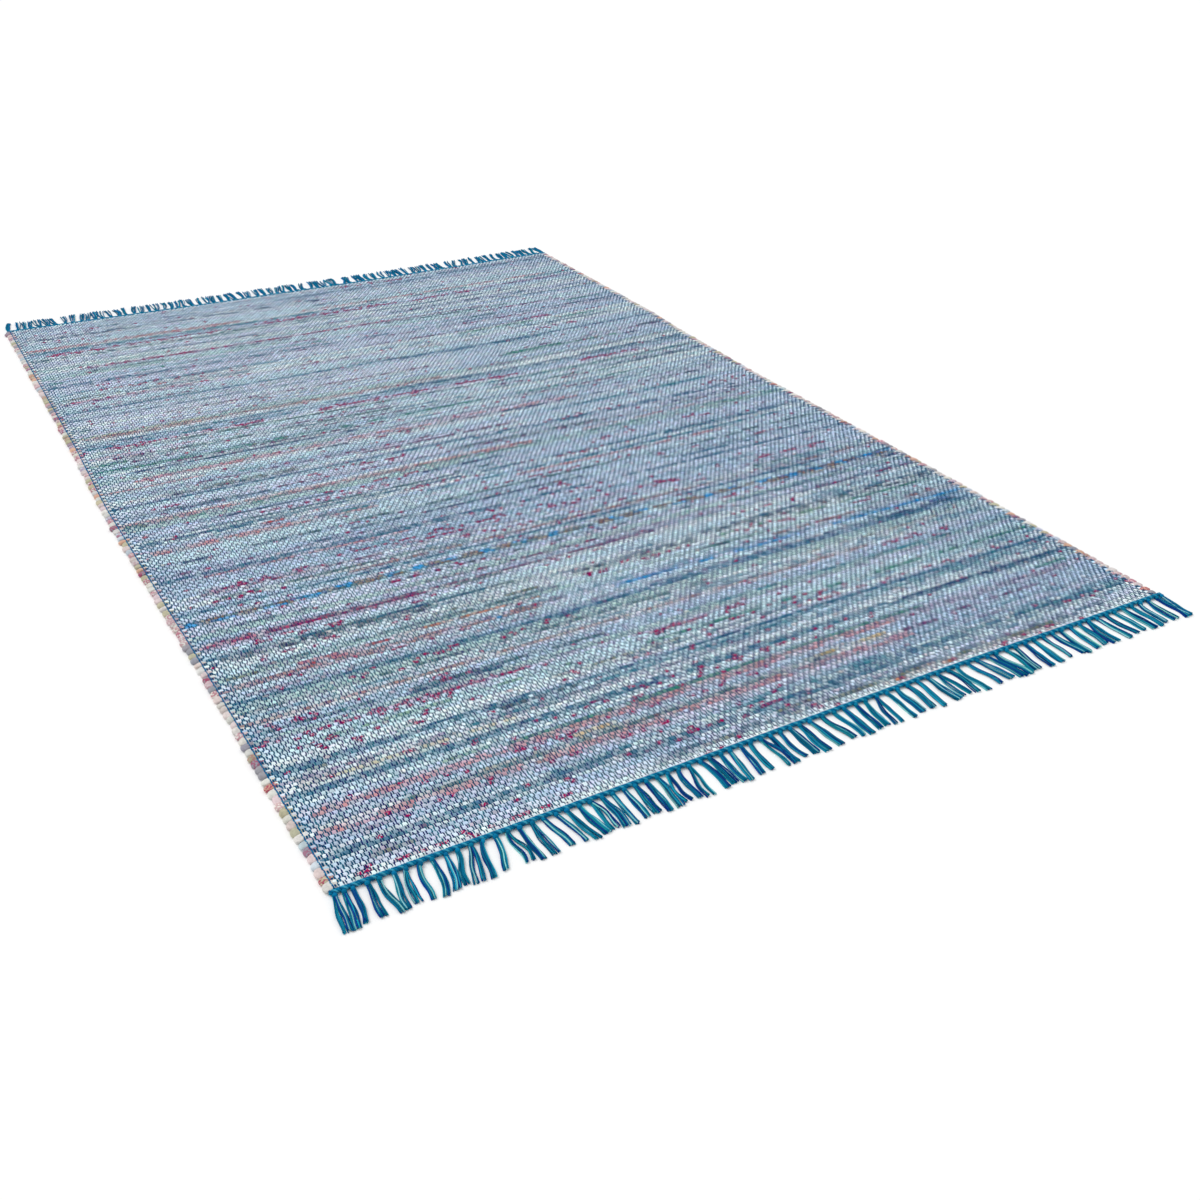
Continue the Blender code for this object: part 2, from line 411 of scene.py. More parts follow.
# Where the coloured rags lie. Columns: pick at the strip's left end, read on a straight ruler along
# the rug's left side, share of the width at its left end, at its right end, share of the strip that
# lies face up, and its picks where it has more than one.
WEFT_CHART = {
    "mauve": (
        (10.7, .0, 1., .1), (20.3, .70, 1., .7, 2), (28.5, .0, .55, .6, 2), (43.5, .0, 1., .3),
        (60.6, .0, .75, .6), (81.8, .50, .85, .4, 2), (103.0, .15, .85, .35), (172.0, .30, 1., .6),
        (197.5, .0, .30, .2), (203.0, .60, 1., .6), (205.5, .0, .30, .2), (293.3, .0, 1., .5, 2),
        (300.5, .0, 1., .5, 2),
    ),
    "white": (
        (22.7, .0, .60, .7), (200.4, .0, 1., .7), (214.5, .15, .70, .5, 2), (221.5, .27, .40, .7),
        (291.5, .45, .65, .7),
    ),
    "beige": (
        (16.0, .0, .60, .2), (55.0, .70, .95, .4), (228.0, .57, .70, .6),
    ),
    "cream": (
        (27.5, .0, .25, .7), (90.0, .83, 1., .6), (203.5, .0, .18, .5),
    ),
    "pink": (
        (189.0, .0, .15, .7),
    ),
    "ice": (
        (52.0, .0, .55, .6), (70.2, .0, .22, .8, 2), (107.0, .0, .20, .6),
    ),
    "sage": (
        (82.0, .60, .72, .7), (217.2, .60, .93, .7), (210.5, .30, .80, .1),
    ),
    "mist": (
        (102.0, .45, 1., .4, 50), (153.0, .60, 1., .3, 24), (205.0, .60, 1., .3, 22),
        (290.0, .0, 1., .4, 14),
    ),
    "steel": (
        (26.0, .84, 1., .05, 24), (50.0, .84, 1., .05, 26), (76.5, .80, 1., .15, 26), (5.5, .45, 1., .4, 6),
        (13.0, .65, 1., .4, 2), (29.5, .45, 1., .4, 2), (31.0, .50, 1., .3, 3), (37.0, .60, 1., .4),
        (51.5, .50, 1., .4, 3), (53.0, .0, .60, .5), (64.5, .33, 1., .35, 2), (99.5, .30, 1., .3, 3),
        (108.0, .20, .80, .6), (196.0, .30, 1., .2), (175.8, .0, 1., .3), (184.3, .0, .60, .5),
        (231.3, .50, .85, .35, 2), (238.3, .0, .35, .5, 2),
    ),
    "slate": (
        (1.8, .33, .95, .5, 2), (4.0, .63, .67, .9), (36.3, .33, .65, .5), (12.5, .43, .46, .9),
        (74.5, .18, .60, .4), (86.4, .70, .90, .8), (117.5, .70, 1., .7), (197.2, .45, 1., .7, 2),
        (217.2, .0, .40, .7), (233.0, .10, .30, .6), (261.5, .80, 1., .7), (265.3, .0, 1., .35),
        (270.4, .0, 1., .4), (269.7, .57, .75, .6), (284.5, .50, .75, .4), (286.0, .0, .30, .1),
        (295.0, .44, .75, .7, 2), (297.5, .75, 1., .7, 2), (296.0, .10, .30, .6),
    ),
    "salmon": (
        (12.2, .0, .70, .85, 2), (18.3, .0, .70, .85, 2), (111.5, .05, .30, .8), (127.0, .0, .30, .75, 2),
        (127.0, .50, .85, .7), (144.8, .0, .56, .8, 2), (144.8, .65, .95, .5), (165.1, .0, .15, .9),
        (169.3, .05, .27, .85, 2), (169.3, .27, .70, .5, 2), (280.8, .0, .35, .9, 2), (280.8, .45, .95, .8),
    ),
    "russet": (
        (50.0, .0, .77, .95), (63.2, .0, .38, .85, 2), (66.0, .70, 1., .7), (98.1, .20, 1., .75),
        (201.2, .0, .55, .75, 2),
    ),
    "tan": (
        (220.5, .0, .45, .15),
    ),
    "yellow": (
        (17.0, .28, .33, .5), (17.0, .57, .66, .4),
    ),
    "orange": (
        (67.5, .20, .35, .5), (2.0, .60, .85, .12),
    ),
    "olive": (
        (2.0, .32, .85, .35), (3.2, .04, .09, .9), (4.0, .48, .54, .8), (31.4, .01, .05, .8),
        (36.5, .30, .45, .6), (67.9, .0, .10, .6), (71.7, .22, .38, .6), (158.3, .05, .28, .4),
        (234.5, .0, .10, .7),
    ),
    "palegreen": (
        (22.0, .14, .22, .6), (39.4, .05, .35, .6), (71.7, .42, .80, .3),
    ),
    "seagreen": (
        (143.0, .0, 1., .3, 2),
    ),
    "aqua": (
        (9.4, .68, 1., .7), (32.0, .70, .97, .6), (163.0, .18, .28, .6),
    ),
    "teal": (
        (9.0, .23, .68, .5), (30.0, .20, .33, .7), (31.2, .35, .60, .7), (46.0, .50, 1., .6),
        (128.5, .22, .30, .7), (129.2, .37, .63, .7), (128.7, .65, .93, .7), (162.3, .65, .95, .8),
        (163.0, .85, .93, .8), (190.0, .60, 1., .4), (195.0, .0, .30, .7), (277.7, .0, .30, .85, 2),
        (277.0, .30, .60, .8, 2), (279.0, .58, .61, .9), (279.0, .66, .77, .9), (280.3, .90, 1., .8),
    ),
    "green": (
        (20.6, .22, .40, .85), (21.2, .40, .75, .85), (22.7, .93, .99, .8), (38.6, .42, 1., .7),
        (73.0, .82, 1., .7), (178.7, .0, .37, .5, 2), (178.5, .38, .60, .8), (178.2, .62, .86, .6),
        (184.0, .0, .05, .8), (183.5, .78, .82, .8), (209.7, .67, .90, .9), (210.5, .68, .80, .8),
        (234.5, .65, .80, .8), (234.5, .85, .92, .7), (249.5, .0, .03, .8), (249.5, .15, .45, .3),
        (249.5, .90, 1., .7),
    ),
    "forest": (
        (15.0, .10, .60, .8), (46.2, .0, .40, .85), (54.2, .0, .57, .85), (69.2, .05, .40, .85),
        (68.3, .60, .70, .7), (75.9, .10, .40, .8), (81.1, .06, .35, .8), (87.1, .03, .15, .8),
        (92.8, .0, .60, .85), (100.3, .05, .33, .9), (101.5, .78, .90, .7), (121.3, .12, .25, .8),
        (122.3, .25, .50, .8), (122.0, .50, .85, .7), (123.0, .85, 1., .7), (135.4, .06, .42, .85),
        (136.3, .42, .49, .8), (149.8, .0, .15, .8), (149.8, .45, .70, .7), (185.0, .07, .45, .75),
        (185.0, .60, .77, .7), (185.4, .80, 1., .6), (190.8, .03, .45, .6), (209.7, .0, .03, .9),
        (209.7, .26, .29, .9), (248.0, .65, .75, .7), (255.5, .03, .20, .7), (255.5, .30, .40, .6),
        (255.5, .57, .80, .5), (262.5, .30, .50, .2), (271.2, .0, .30, .6), (271.2, .30, .50, .9),
    ),
    "denim": (
        (6.2, .0, .30, 1., 2), (6.4, .30, .65, .95, 2), (7.6, .65, 1., .6, 2), (24.4, .0, .40, .97, 2),
        (25.0, .40, 1., .8, 2), (32.2, .0, .28, .95, 2), (32.5, .28, 1., 1.), (57.6, .0, .40, .3),
        (58.5, .0, .50, 1.), (58.2, .50, 1., .8, 2), (76.8, .0, .33, .9), (76.2, .52, 1., .7),
        (97.0, .0, .55, .95), (95.7, .53, .90, .9), (112.6, .0, .50, .85, 2), (113.0, .50, 1., .85),
        (116.0, .72, .85, .8), (131.5, .75, .95, .8), (132.8, .0, .20, .9, 2), (133.0, .20, 1., .85),
        (155.0, .0, .50, 1.), (154.0, .50, .95, .7, 2), (199.0, .0, .60, .9), (199.0, .80, 1., .8),
        (220.8, .52, .80, .7), (223.3, .0, 1., 1.), (231.0, .80, .95, .8), (245.3, .0, .46, .5, 2),
        (245.0, .50, 1., .6),
    ),
    "blue": (
        (62.0, .93, 1., .9), (92.7, .80, 1., .7),
    ),
    "sky": (
        (63.7, .30, .32, .9), (63.7, .46, .60, .9), (63.5, .63, .75, .9), (63.4, .78, 1., .95),
    ),
    "navy": (
        (26.7, .73, 1., .7), (45.1, .16, .27, .85), (60.2, .77, .95, .8), (89.3, .97, 1., .8),
        (116.5, .19, .25, .8), (117.5, .25, .45, .8), (117.8, .40, .57, .6), (120.2, .0, .09, .8),
        (139.5, .10, .27, .75), (140.0, .40, .52, .7), (148.5, .08, .20, .7), (150.3, .80, .92, .8),
        (152.0, .93, 1., .8), (166.8, .17, .20, .8), (166.8, .30, .35, .8), (167.3, .53, .75, .6),
        (175.6, .05, .37, .7), (185.8, .80, 1., .5), (190.7, .45, 1., .3), (203.5, .62, .64, .9),
        (209.0, .90, .94, .8), (237.7, .18, .27, .6), (245.2, .88, 1., .6), (265.0, .15, .40, .2),
        (290.3, .0, .55, .4, 2),
    ),
    "charcoal": (
        (31.4, .22, .33, .5), (74.0, .02, .25, .6, 2), (73.5, .45, .60, .6), (74.2, .62, 1., .5, 2),
        (88.5, .24, .40, .5), (88.5, .45, .65, .45), (156.8, .07, .25, .8), (168.0, .38, .53, .5),
        (169.0, .78, .95, .5), (214.5, .95, 1., .8), (265.5, .60, .90, .2),
    ),
    "plum": (
        (16.0, .70, .75, .7), (16.5, .78, .90, .5), (82.0, .0, .27, .8, 2), (81.9, .27, .56, .7),
        (82.1, .82, 1., .6), (85.0, .22, .70, .35), (103.5, .03, .25, .5), (115.0, .0, .30, .1),
        (148.9, .20, .95, .3), (159.2, .35, .60, .7), (161.0, .05, .45, .4), (176.0, .60, .80, .5),
        (177.5, .10, .40, .45), (182.5, .05, .15, .6), (182.5, .30, .56, .45), (182.5, .72, .77, .6),
        (186.8, .03, .08, .6), (186.8, .27, .45, .45), (186.8, .61, .67, .6), (212.0, .13, .55, .6),
        (213.0, .74, .78, .7), (213.0, .83, 1., .7), (225.0, .03, .20, .3), (225.0, .45, .50, .5),
        (230.5, .0, .20, .5), (230.5, .35, .50, .5), (237.7, .50, .80, .35), (243.8, .05, 1., .3),
        (251.5, .40, .45, .6), (252.0, .70, .90, .5), (258.0, .07, .75, .7), (276.0, .80, 1., .5),
    ),
    "raspberry": (
        (42.1, .15, .30, .4), (42.1, .43, .50, .8), (82.0, .0, .27, .6), (104.8, .05, .18, .2),
        (104.8, .27, .40, .2), (104.8, .50, .68, .2), (104.8, .80, .92, .2), (193.7, .03, .25, .2),
        (193.7, .34, .67, .25), (193.7, .78, .90, .2), (231.0, .02, .30, .3), (238.2, .80, .83, .9),
        (258.0, .10, .60, .4), (274.5, .03, .36, .1), (273.8, .36, .80, .2),
    ),
    "red": (
        (65.8, .08, .16, .2), (67.0, .10, .22, .2), (130.9, .17, .20, .7), (137.2, .01, .03, .9),
        (235.5, .15, .31, .3),
    ),
    "flecks": (
        (1.0, .02, .25, .5), (1.2, .40, 1., .2), (5.7, .18, .27, .4), (6.5, .30, .50, .3),
        (7.4, .85, 1., .3), (11.9, .0, .40, .3), (17.5, .12, .30, .35), (18.5, .35, .50, .3),
        (23.9, .18, .22, .5), (24.0, .25, .70, .35), (22.5, .35, .45, .3), (35.0, .40, .98, .3),
        (36.5, .05, .20, .4), (37.7, .47, .70, .4), (38.3, .04, .17, .4), (42.1, .0, .30, .75),
        (42.1, .43, .49, .9), (42.1, .53, .56, .9), (47.9, .02, .08, .7), (47.9, .19, .25, .6),
        (48.4, .79, .90, .5), (56.5, .12, .38, .4), (62.7, .0, .30, .35), (70.8, .43, .58, .5),
        (71.3, .65, .75, .5), (70.0, .75, .95, .35), (73.0, .0, .22, .45), (78.9, .04, .15, .4),
        (79.2, .20, .26, .4), (79.7, .41, .50, .4), (79.7, .65, .80, .4), (89.3, .22, .36, .4),
        (89.3, .68, .80, .4), (95.7, .06, .10, .6), (99.5, .02, .14, .35), (101.0, .35, .45, .45),
        (101.0, .50, .60, .45), (104.8, .07, .12, .85), (104.8, .16, .18, .9), (104.8, .30, .36, .8),
        (104.8, .63, .68, .8), (104.8, .80, .92, .7), (105.7, .47, .55, .7), (106.7, .21, .44, .75),
        (111.5, .40, .60, .25), (116.2, .50, .55, .6), (119.0, .67, .80, .5), (119.0, .84, .92, .5),
        (120.8, .26, .30, .6), (124.0, .43, .60, .45), (124.0, .63, .67, .6), (130.0, .36, .47, .4),
        (131.5, .35, .47, .45), (131.5, .55, .70, .45), (137.2, .15, .36, .5), (137.2, .66, .72, .6),
        (139.0, .80, .85, .7), (140.7, .24, .30, .7), (141.0, .33, .40, .6), (151.7, .05, .10, .6),
        (151.7, .25, .42, .4), (155.8, .55, .75, .4), (157.5, .90, .97, .5), (166.5, .37, .45, .5),
        (174.3, .47, .60, .5), (193.7, .03, .14, 1.), (193.7, .17, .27, 1.), (193.7, .34, .44, 1.),
        (193.7, .46, .54, 1.), (193.7, .56, .67, 1.), (193.7, .78, .90, 1.), (207.0, .08, .29, .2),
        (226.5, .78, .86, .5), (238.2, .80, .83, .95), (238.2, .05, .34, .2), (242.4, .06, .10, .5),
        (258.0, .16, .22, .8), (258.0, .56, .58, .9), (259.0, .05, .15, .4), (274.5, .03, .30, 1.),
        (274.5, .36, .62, 1.), (274.5, .66, .78, 1.), (287.0, .03, .10, .8), (299.0, .57, .70, .5),
    ),
}

# One rag is printed in even lengths of blue on brown.
PRINTED_PICK = 91.7
PRINTED_PICKS = 2
PRINTED_REPEAT = 0.045
PRINTED_BLUE = 0.45

# How much a dye varies in hue, as a share of how much it varies in depth.
HUE_SHARE = 1.0 / 3.0

# The ruler on which the chart is read.
RULER_START_Y = -0.9016
RULER_PICK = 5.911 * MM
RULER_LEFT_X = -0.5952
RULER_WIDTH = 1.2

# The warp's yarns, with their shares, and the yarns of the locks, headers and sides.
WARP_COLOURS = (
    ((0.03, 0.10, 0.38), 0.34),
    ((0.00, 0.28, 0.40), 0.46),
    ((0.07, 0.40, 0.49), 0.20),
)
NAVY_YARN = (0.04, 0.25, 0.55)
TEAL_YARN = (0.02, 0.42, 0.57)
SEA_YARN = (0.10, 0.57, 0.68)
AQUA_YARN = (0.52, 0.80, 0.82)
AZURE_YARN = (0.00, 0.43, 0.64)
NEAR_LOCK_COLOURS = (
    NAVY_YARN, NAVY_YARN, TEAL_YARN, TEAL_YARN, TEAL_YARN, SEA_YARN, SEA_YARN, AQUA_YARN,
)
FAR_LOCK_COLOURS = (
    TEAL_YARN, TEAL_YARN, TEAL_YARN, TEAL_YARN, AZURE_YARN, AZURE_YARN, AZURE_YARN, SEA_YARN,
)
HEADER_COLOURS = ((0.03, 0.41, 0.59), (0.04, 0.48, 0.65), (0.26, 0.65, 0.77))
EDGE_COLOURS = ((0.04, 0.33, 0.56), (0.08, 0.50, 0.66))

# What the outermost warp ends' dye turns to.
SIDE_COLOUR = (0.02, 0.30, 0.46)

# The rags as they show in the side loops, where no warp crosses them, with their shares.
LOOP_COLOURS = (
    ((0.86, 0.85, 0.83), 0.36),
    ((0.85, 0.79, 0.79), 0.22),
    ((0.82, 0.66, 0.58), 0.08),
    ((0.74, 0.72, 0.62), 0.12),
    ((0.60, 0.60, 0.64), 0.12),
    ((0.76, 0.80, 0.84), 0.10),
)

# The cotton's noise patterns, each a scale and a detail, the range that their noise mostly has, and
# how dark and how light each pattern makes the dye. The folds, threads, ply and fuzz raise and sink
# the bumps with the same noise, so their darker and lighter dye is painted shading: painted shade in
# their hollows and painted light on their tops.
NOISE_RANGE = (0.3, 0.7)
FOLDS = (260.0, 3.0)
THREADS = (1500.0, 1.0)
SPOTS = (380.0, 1.0)
FUZZ = (900.0, 2.0)
FOLD_PAINTED_SHADING = (0.84, 1.10)
THREAD_PAINTED_SHADING = (0.93, 1.05)
UNDERSIDE_PAINTED_SHADING = (0.85, 1.08)
PLY_PAINTED_SHADING = (0.80, 1.12)
FUZZ_PAINTED_SHADING = (0.88, 1.10)
PLY_DISTORTION = 1.5

# Where the spots' noise rises through this range, a fleck of print begins.
FLECK_EDGE = (0.46, 0.50)

# How much of a bump the threads give beside the folds, the folds beside the gaps, and the fuzz
# beside the ply.
THREAD_BUMP = 0.25
FOLD_BUMP = 0.4
FUZZ_BUMP = 0.4

# The underside's weave of rag between warp ends. Its dark gaps, in the warp's colour, show the warp ends
# across each pick, and between the picks they are painted shade in the crevices.
UNDERSIDE_GAP = 0.5 * MM
UNDERSIDE_GAP_BLUR = 0.6

# Columns: roughness, sheen, shine, depth of the bumps, which each yarn below has for itself.
RAG_SURFACE = (0.92, 0.05, 0.12, 0.35 * MM)
GROUND_SURFACE = (0.92, 0.05, 0.12, 0.6 * MM)
YARN_SURFACE = (0.85, 0.01, 0.03)
SHEEN_ROUGHNESS = 0.5

# Columns: scale of the twist, stretch of the pattern, depth of the bumps.
FLOAT_YARN = (420.0, (1.0, 1.0, 1.0), 0.12 * MM)
FRINGE_YARN = (300.0, (1.0, 0.6, 1.0), 0.18 * MM)
CORD_YARN = (260.0, (1.0, 1.0, 1.0), 0.2 * MM)

# Stretches of the folds and of the threads in the woven rags and in their loops, as the rags run
# across the rug and their threads along them.
WOVEN_STRETCHES = ((0.35, 1.0, 1.0), (1.0, 0.3, 1.0))
LOOP_STRETCHES = ((1.0, 0.6, 1.0), (0.3, 1.0, 1.0))

# The stage: a large floor, an even sky and one soft window, tilted in degrees.
FLOOR_SIZE = 60.0
FLOOR_WHITE = 0.97
SKY_STRENGTH = 0.75
WINDOW_STRENGTH = 1.25
WINDOW_SPREAD = 35.0
WINDOW_TILT = (-32.0, -24.0, 0.0)

# The camera: its place in metres, its turns in degrees, its lens and sensor in millimetres.
CAMERA_PLACE = (-0.8750, -1.8726, 0.9269)
CAMERA_TURN = -30.8550
CAMERA_TIP = 59.0876
CAMERA_ROLL = 1.3520
CAMERA_LENS = 39.942
CAMERA_SENSOR = 36.0


def linear(colours):
    """Display values of red, green and blue as the light they stand for."""
    values = np.asarray(colours, float)
    return np.where(values <= 0.04045, values / 12.92, ((values + 0.055) / 1.055) ** 2.4)


def column_at(table, at, column):
    """Values in a table's column, read between its rows on straight lines."""
    rows = np.array(table, float)
    return np.interp(at, rows[:, 0], rows[:, column])


def smooth(share):
    """A share from 0 to 1, eased at both ends."""
    held = np.clip(share, 0.0, 1.0)
    return held * held * (3.0 - 2.0 * held)


def pick_of(rng, choices, count):
    """Seeded draws from a table of values and shares."""
    shares = np.array([share for _value, share in choices])
    return rng.choice(len(choices), size=count, p=shares / shares.sum())


def beat_shift(share, across):
    """How far the beat moves a pick along the rug, at a share of its length and of its width."""
    stations = [column_at(BEAT_LINES, share, number + 1) * MM for number in range(len(BEAT_STATIONS))]
    shift = stations[0]
    for number, (left, right) in enumerate(zip(BEAT_STATIONS, BEAT_STATIONS[1:])):
        shift = shift + smooth((across - left) / (right - left)) * (stations[number + 1] - stations[number])
    return shift


def side_x(share):
    """X of the outermost warp ends at left and right, at a share of the length."""
    return column_at(SIDE_LINES, share, 1) + SELVEDGE_WIDTH, column_at(SIDE_LINES, share, 2) - SELVEDGE_WIDTH


def hand_shift(count, waves, place, along):
    """Small uneven shift of one thread among many, as a hand-thrown cloth has, in metres."""
    fade = np.sin(math.pi * np.clip(place / count, 0.0, 1.0)) ** SIDE_CALM
    shift = sum(size * np.sin(step * place + drift * along + start) for size, step, drift, start in waves)
    return fade * shift


def cloth_place(end, pick):
    """Place on the cloth's plan of a warp end and a pick, or of a spot between them."""
    share = pick / PICKS
    across = end / (ENDS - 1)
    left, right = side_x(share)
    x = left + (right - left) * across
    near = column_at(END_LINES, x, 1)
    far = column_at(END_LINES, x, 2)
    y = near + (far - near) * share + beat_shift(share, across)
    return x + hand_shift(ENDS - 1, WARP_WAVES, end, pick), y + hand_shift(PICKS, PICK_WAVES, pick, end)


def mesh_piece(name, points, groups, material, colours=None, places=None):
    """A smooth mesh object of points and faces, with a colour for each point and places on a map."""
    mesh = bpy.data.meshes.new(name)
    mesh.vertices.add(len(points))
    mesh.vertices.foreach_set("co", np.asarray(points, np.float32).ravel())
    corners = np.concatenate([np.asarray(group).ravel() for group in groups])
    sizes = np.concatenate([np.full(len(group), np.shape(group)[1]) for group in groups])
    mesh.loops.add(len(corners))
    mesh.loops.foreach_set("vertex_index", corners.astype(np.int32))
    mesh.polygons.add(len(sizes))
    mesh.polygons.foreach_set("loop_start", (np.cumsum(sizes) - sizes).astype(np.int32))
    mesh.polygons.foreach_set("use_smooth", np.ones(len(sizes), bool))
    mesh.update(calc_edges=True)
    if colours is not None:
        layer = mesh.color_attributes.new("dye", "FLOAT_COLOR", "POINT")
        full = np.ones((len(points), 4), np.float32)
        full[:, :np.shape(colours)[1]] = colours
        layer.data.foreach_set("color", full.ravel())
    if places is not None:
        layer = mesh.uv_layers.new(name="OFBake")
        layer.data.foreach_set("uv", np.asarray(places, np.float32)[corners].ravel())
    mesh.materials.append(material)
    mesh.validate()
    piece = bpy.data.objects.new(name, mesh)
    bpy.context.scene.collection.objects.link(piece)
    return piece


def tubes(lines, radii, sides):
    """Points and faces of round tubes along many lines of equal length, with closed ends.

    lines holds a row of places for each tube, and radii its radius at each place.
    """
    count, rings, _three = lines.shape
    ahead = np.gradient(lines, axis=1)
    ahead /= np.linalg.norm(ahead, axis=2, keepdims=True)
    beside = np.cross(ahead, np.array([0.0, 0.0, 1.0]))
    beside /= np.linalg.norm(beside, axis=2, keepdims=True)
    above = np.cross(beside, ahead)
    angle = TURN * (np.arange(sides) + 0.5) / sides
    round_by = beside[:, :, None] * np.cos(angle)[:, None] + above[:, :, None] * np.sin(angle)[:, None]
    points = lines[:, :, None] + round_by * radii[:, :, None, None]
    number = np.arange(count * rings * sides).reshape(count, rings, sides)
    here, beyond = number[:, :-1], number[:, 1:]
    walls = np.stack([here, np.roll(here, -1, 2), np.roll(beyond, -1, 2), beyond], -1).reshape(-1, 4)
    caps = np.concatenate([number[:, 0, ::-1], number[:, -1]])
    return points.reshape(-1, 3), [walls, caps]


def rag_dyes(rng):
    """Colour of the rag at each crossing, as rows of picks and columns of ends.

    The fourth value is 1 for plain rag and less where its red print shows as flecks.
    """
    palette = {name: linear(colour) for name, colour in RAG_COLOURS.items()}
    crossings = np.arange(ENDS) / (ENDS - 1)
    joins = np.cumsum(rng.uniform(*PALE_RAG_LENGTHS, PALE_RAG_COUNT))
    pale = np.array([palette[name] for name, _share in PALE_RAGS])[pick_of(rng, PALE_RAGS, PALE_RAG_COUNT)]
    dye = np.ones((PICKS, ENDS, 4))
    for pick in range(PICKS):
        woven = crossings if pick % 2 else 1.0 - crossings
        dye[pick, :, :3] = pale[np.searchsorted(joins, pick + woven)]
    for name, strips in WEFT_CHART.items():
        length = PRINT_LENGTHS.get(name, FACE_LENGTH)
        for strip in strips:
            lay_rag(rng, dye, palette.get(name), length, *strip)
    for start in np.arange(0.0, 1.0, PRINTED_REPEAT):
        stop = start + PRINTED_REPEAT
        blue_end = start + PRINTED_REPEAT * PRINTED_BLUE
        lay_rag(rng, dye, palette["sky"], FACE_LENGTH, PRINTED_PICK, start, blue_end, 1.0, PRINTED_PICKS)
        lay_rag(rng, dye, palette["tan"], FACE_LENGTH, PRINTED_PICK, blue_end, stop, 1.0, PRINTED_PICKS)
    dye[rng.random((PICKS, ENDS)) < STRAY_FLECKS, 3] = 0.0
    dots = np.array([palette[name] for name, _share in PRINT_DOTS])[pick_of(rng, PRINT_DOTS, PICKS * ENDS)]
    dotted = rng.random((PICKS, ENDS, 1)) < PRINT_COVER
    share = dotted * rng.uniform(0.0, PRINT_STRENGTH, (PICKS, ENDS, 1))
    dye[:, :, :3] += share * (dots.reshape(PICKS, ENDS, 3) - dye[:, :, :3])
    return dye


def lay_rag(rng, dye, colour, length, ruler_pick, left, right, cover, picks=1):
    """Lay one strip of rag into the cloth, its face showing more in one place than in the next.

    Without a colour, the strip is only flecked with red print.
    """
    crossings = np.arange(ENDS)
    ruler_x = RULER_LEFT_X + RULER_WIDTH * left
    at = np.arange(0.0, PICKS + 0.5, 0.5)
    left_side, right_side = side_x(at / PICKS)
    end_there = np.clip((ruler_x - left_side) / (right_side - left_side), 0.0, 1.0) * (ENDS - 1)
    heights = cloth_place(end_there, at)[1]
    first = int(round(float(np.interp(RULER_START_Y + ruler_pick * RULER_PICK, heights, at))))
    for pick in range(max(first - 1, 0), min(first + picks + 1, PICKS)):
        own = first <= pick < first + picks
        begin, finish = np.array([left, right]) * (ENDS - 1) + rng.normal(0.0, STRIP_END_VARIES, 2)
        inside = (crossings >= begin) & (crossings <= finish)
        chunk = np.searchsorted(np.cumsum(rng.integers(1, length + 1, ENDS)), crossings)
        face_up = rng.random(ENDS)[chunk] < cover * (FLECK_COVER if colour is None else 1.0)
        share = np.where(face_up, rng.uniform(*RAG_FACE_UP, ENDS), rng.uniform(*RAG_FACE_FOLDED, ENDS))
        share = share * inside * (1.0 if own else RAG_SWELL)
        if colour is None:
            printed = face_up & inside & (own | (rng.random(ENDS) < RAG_SWELL))
            dye[pick, printed, 3] = 0.0
            share = FLECK_TINT * printed
        target = linear(FLECK_COLOUR) if colour is None else colour
        dye[pick, :, :3] += share[:, None] * (target - dye[pick, :, :3])


def vary(rng, colours, by):
    """Colours each made a little lighter or darker, and a little off in hue."""
    lighter = 1.0 + rng.normal(0.0, by, colours.shape[:-1] + (1,))
    off_hue = 1.0 + rng.normal(0.0, by * HUE_SHARE, colours.shape)
    return np.clip(colours * lighter * off_hue, 0.0, 1.0)


def map_place(x, y, first_x, last_x):
    """Place on a strip's map: the near and the far half of the strip lie side by side."""
    far_half = y > 0.0
    across = np.clip((x - first_x) / (last_x - first_x), MAP_MARGIN, 1.0 - MAP_MARGIN)
    along = np.where(far_half, y, y + MAP_HALF) / MAP_HALF
    along = np.clip(along, MAP_MARGIN, 1.0 - MAP_MARGIN)
    return np.stack([(across + far_half) / 2.0, along], -1)


def build_rags(name, first_end, last_end, dyes, rng, material):
    """The visible lengths of rag whose middles lie between two warp ends, as one mesh."""
    picks, ends = np.meshgrid(np.arange(PICKS), np.arange(first_end, last_end), indexing="ij")
    over = ((picks + ends) % 2 == 0) & (ends > 0) & (ends < ENDS - 1)
    picks, ends = picks[over], ends[over]
    spot_end, spot_pick, spot_z, uneven = np.array(RAG_POINTS).T
    across, along = cloth_place(ends[:, None] + spot_end, picks[:, None] + 0.5 + spot_pick)
    jitter = rng.normal(0.0, 1.0, (3,) + across.shape) * uneven
    sway = rng.normal(0.0, 1.0, (2, len(picks), 1))
    x = across + jitter[0] * RAG_SHIFT_VARIES + sway[0] * RAG_SWAY[0]
    y = along + jitter[1] * RAG_SHIFT_VARIES + sway[1] * RAG_SWAY[1]
    y = y + 2.0 * spot_pick * (1.0 - uneven) * RAG_OVERLAP
    z = spot_z + jitter[2] * RAG_HEIGHT_VARIES
    points = np.stack([x, y, z], -1).reshape(-1, 3)
    number = np.arange(len(points)).reshape(-1, len(RAG_POINTS))
    faces = np.concatenate([number[:, corners] for corners in RAG_FACES])
    dye = dyes[picks, ends]
    dye[:, :3] = vary(rng, dye[:, :3], RAG_DYE_VARIES)
    places = map_place(across, along, across.min(), across.max())
    colours = np.repeat(dye, len(RAG_POINTS), axis=0)
    return mesh_piece(name, points, [faces], material, colours, places.reshape(-1, 2))


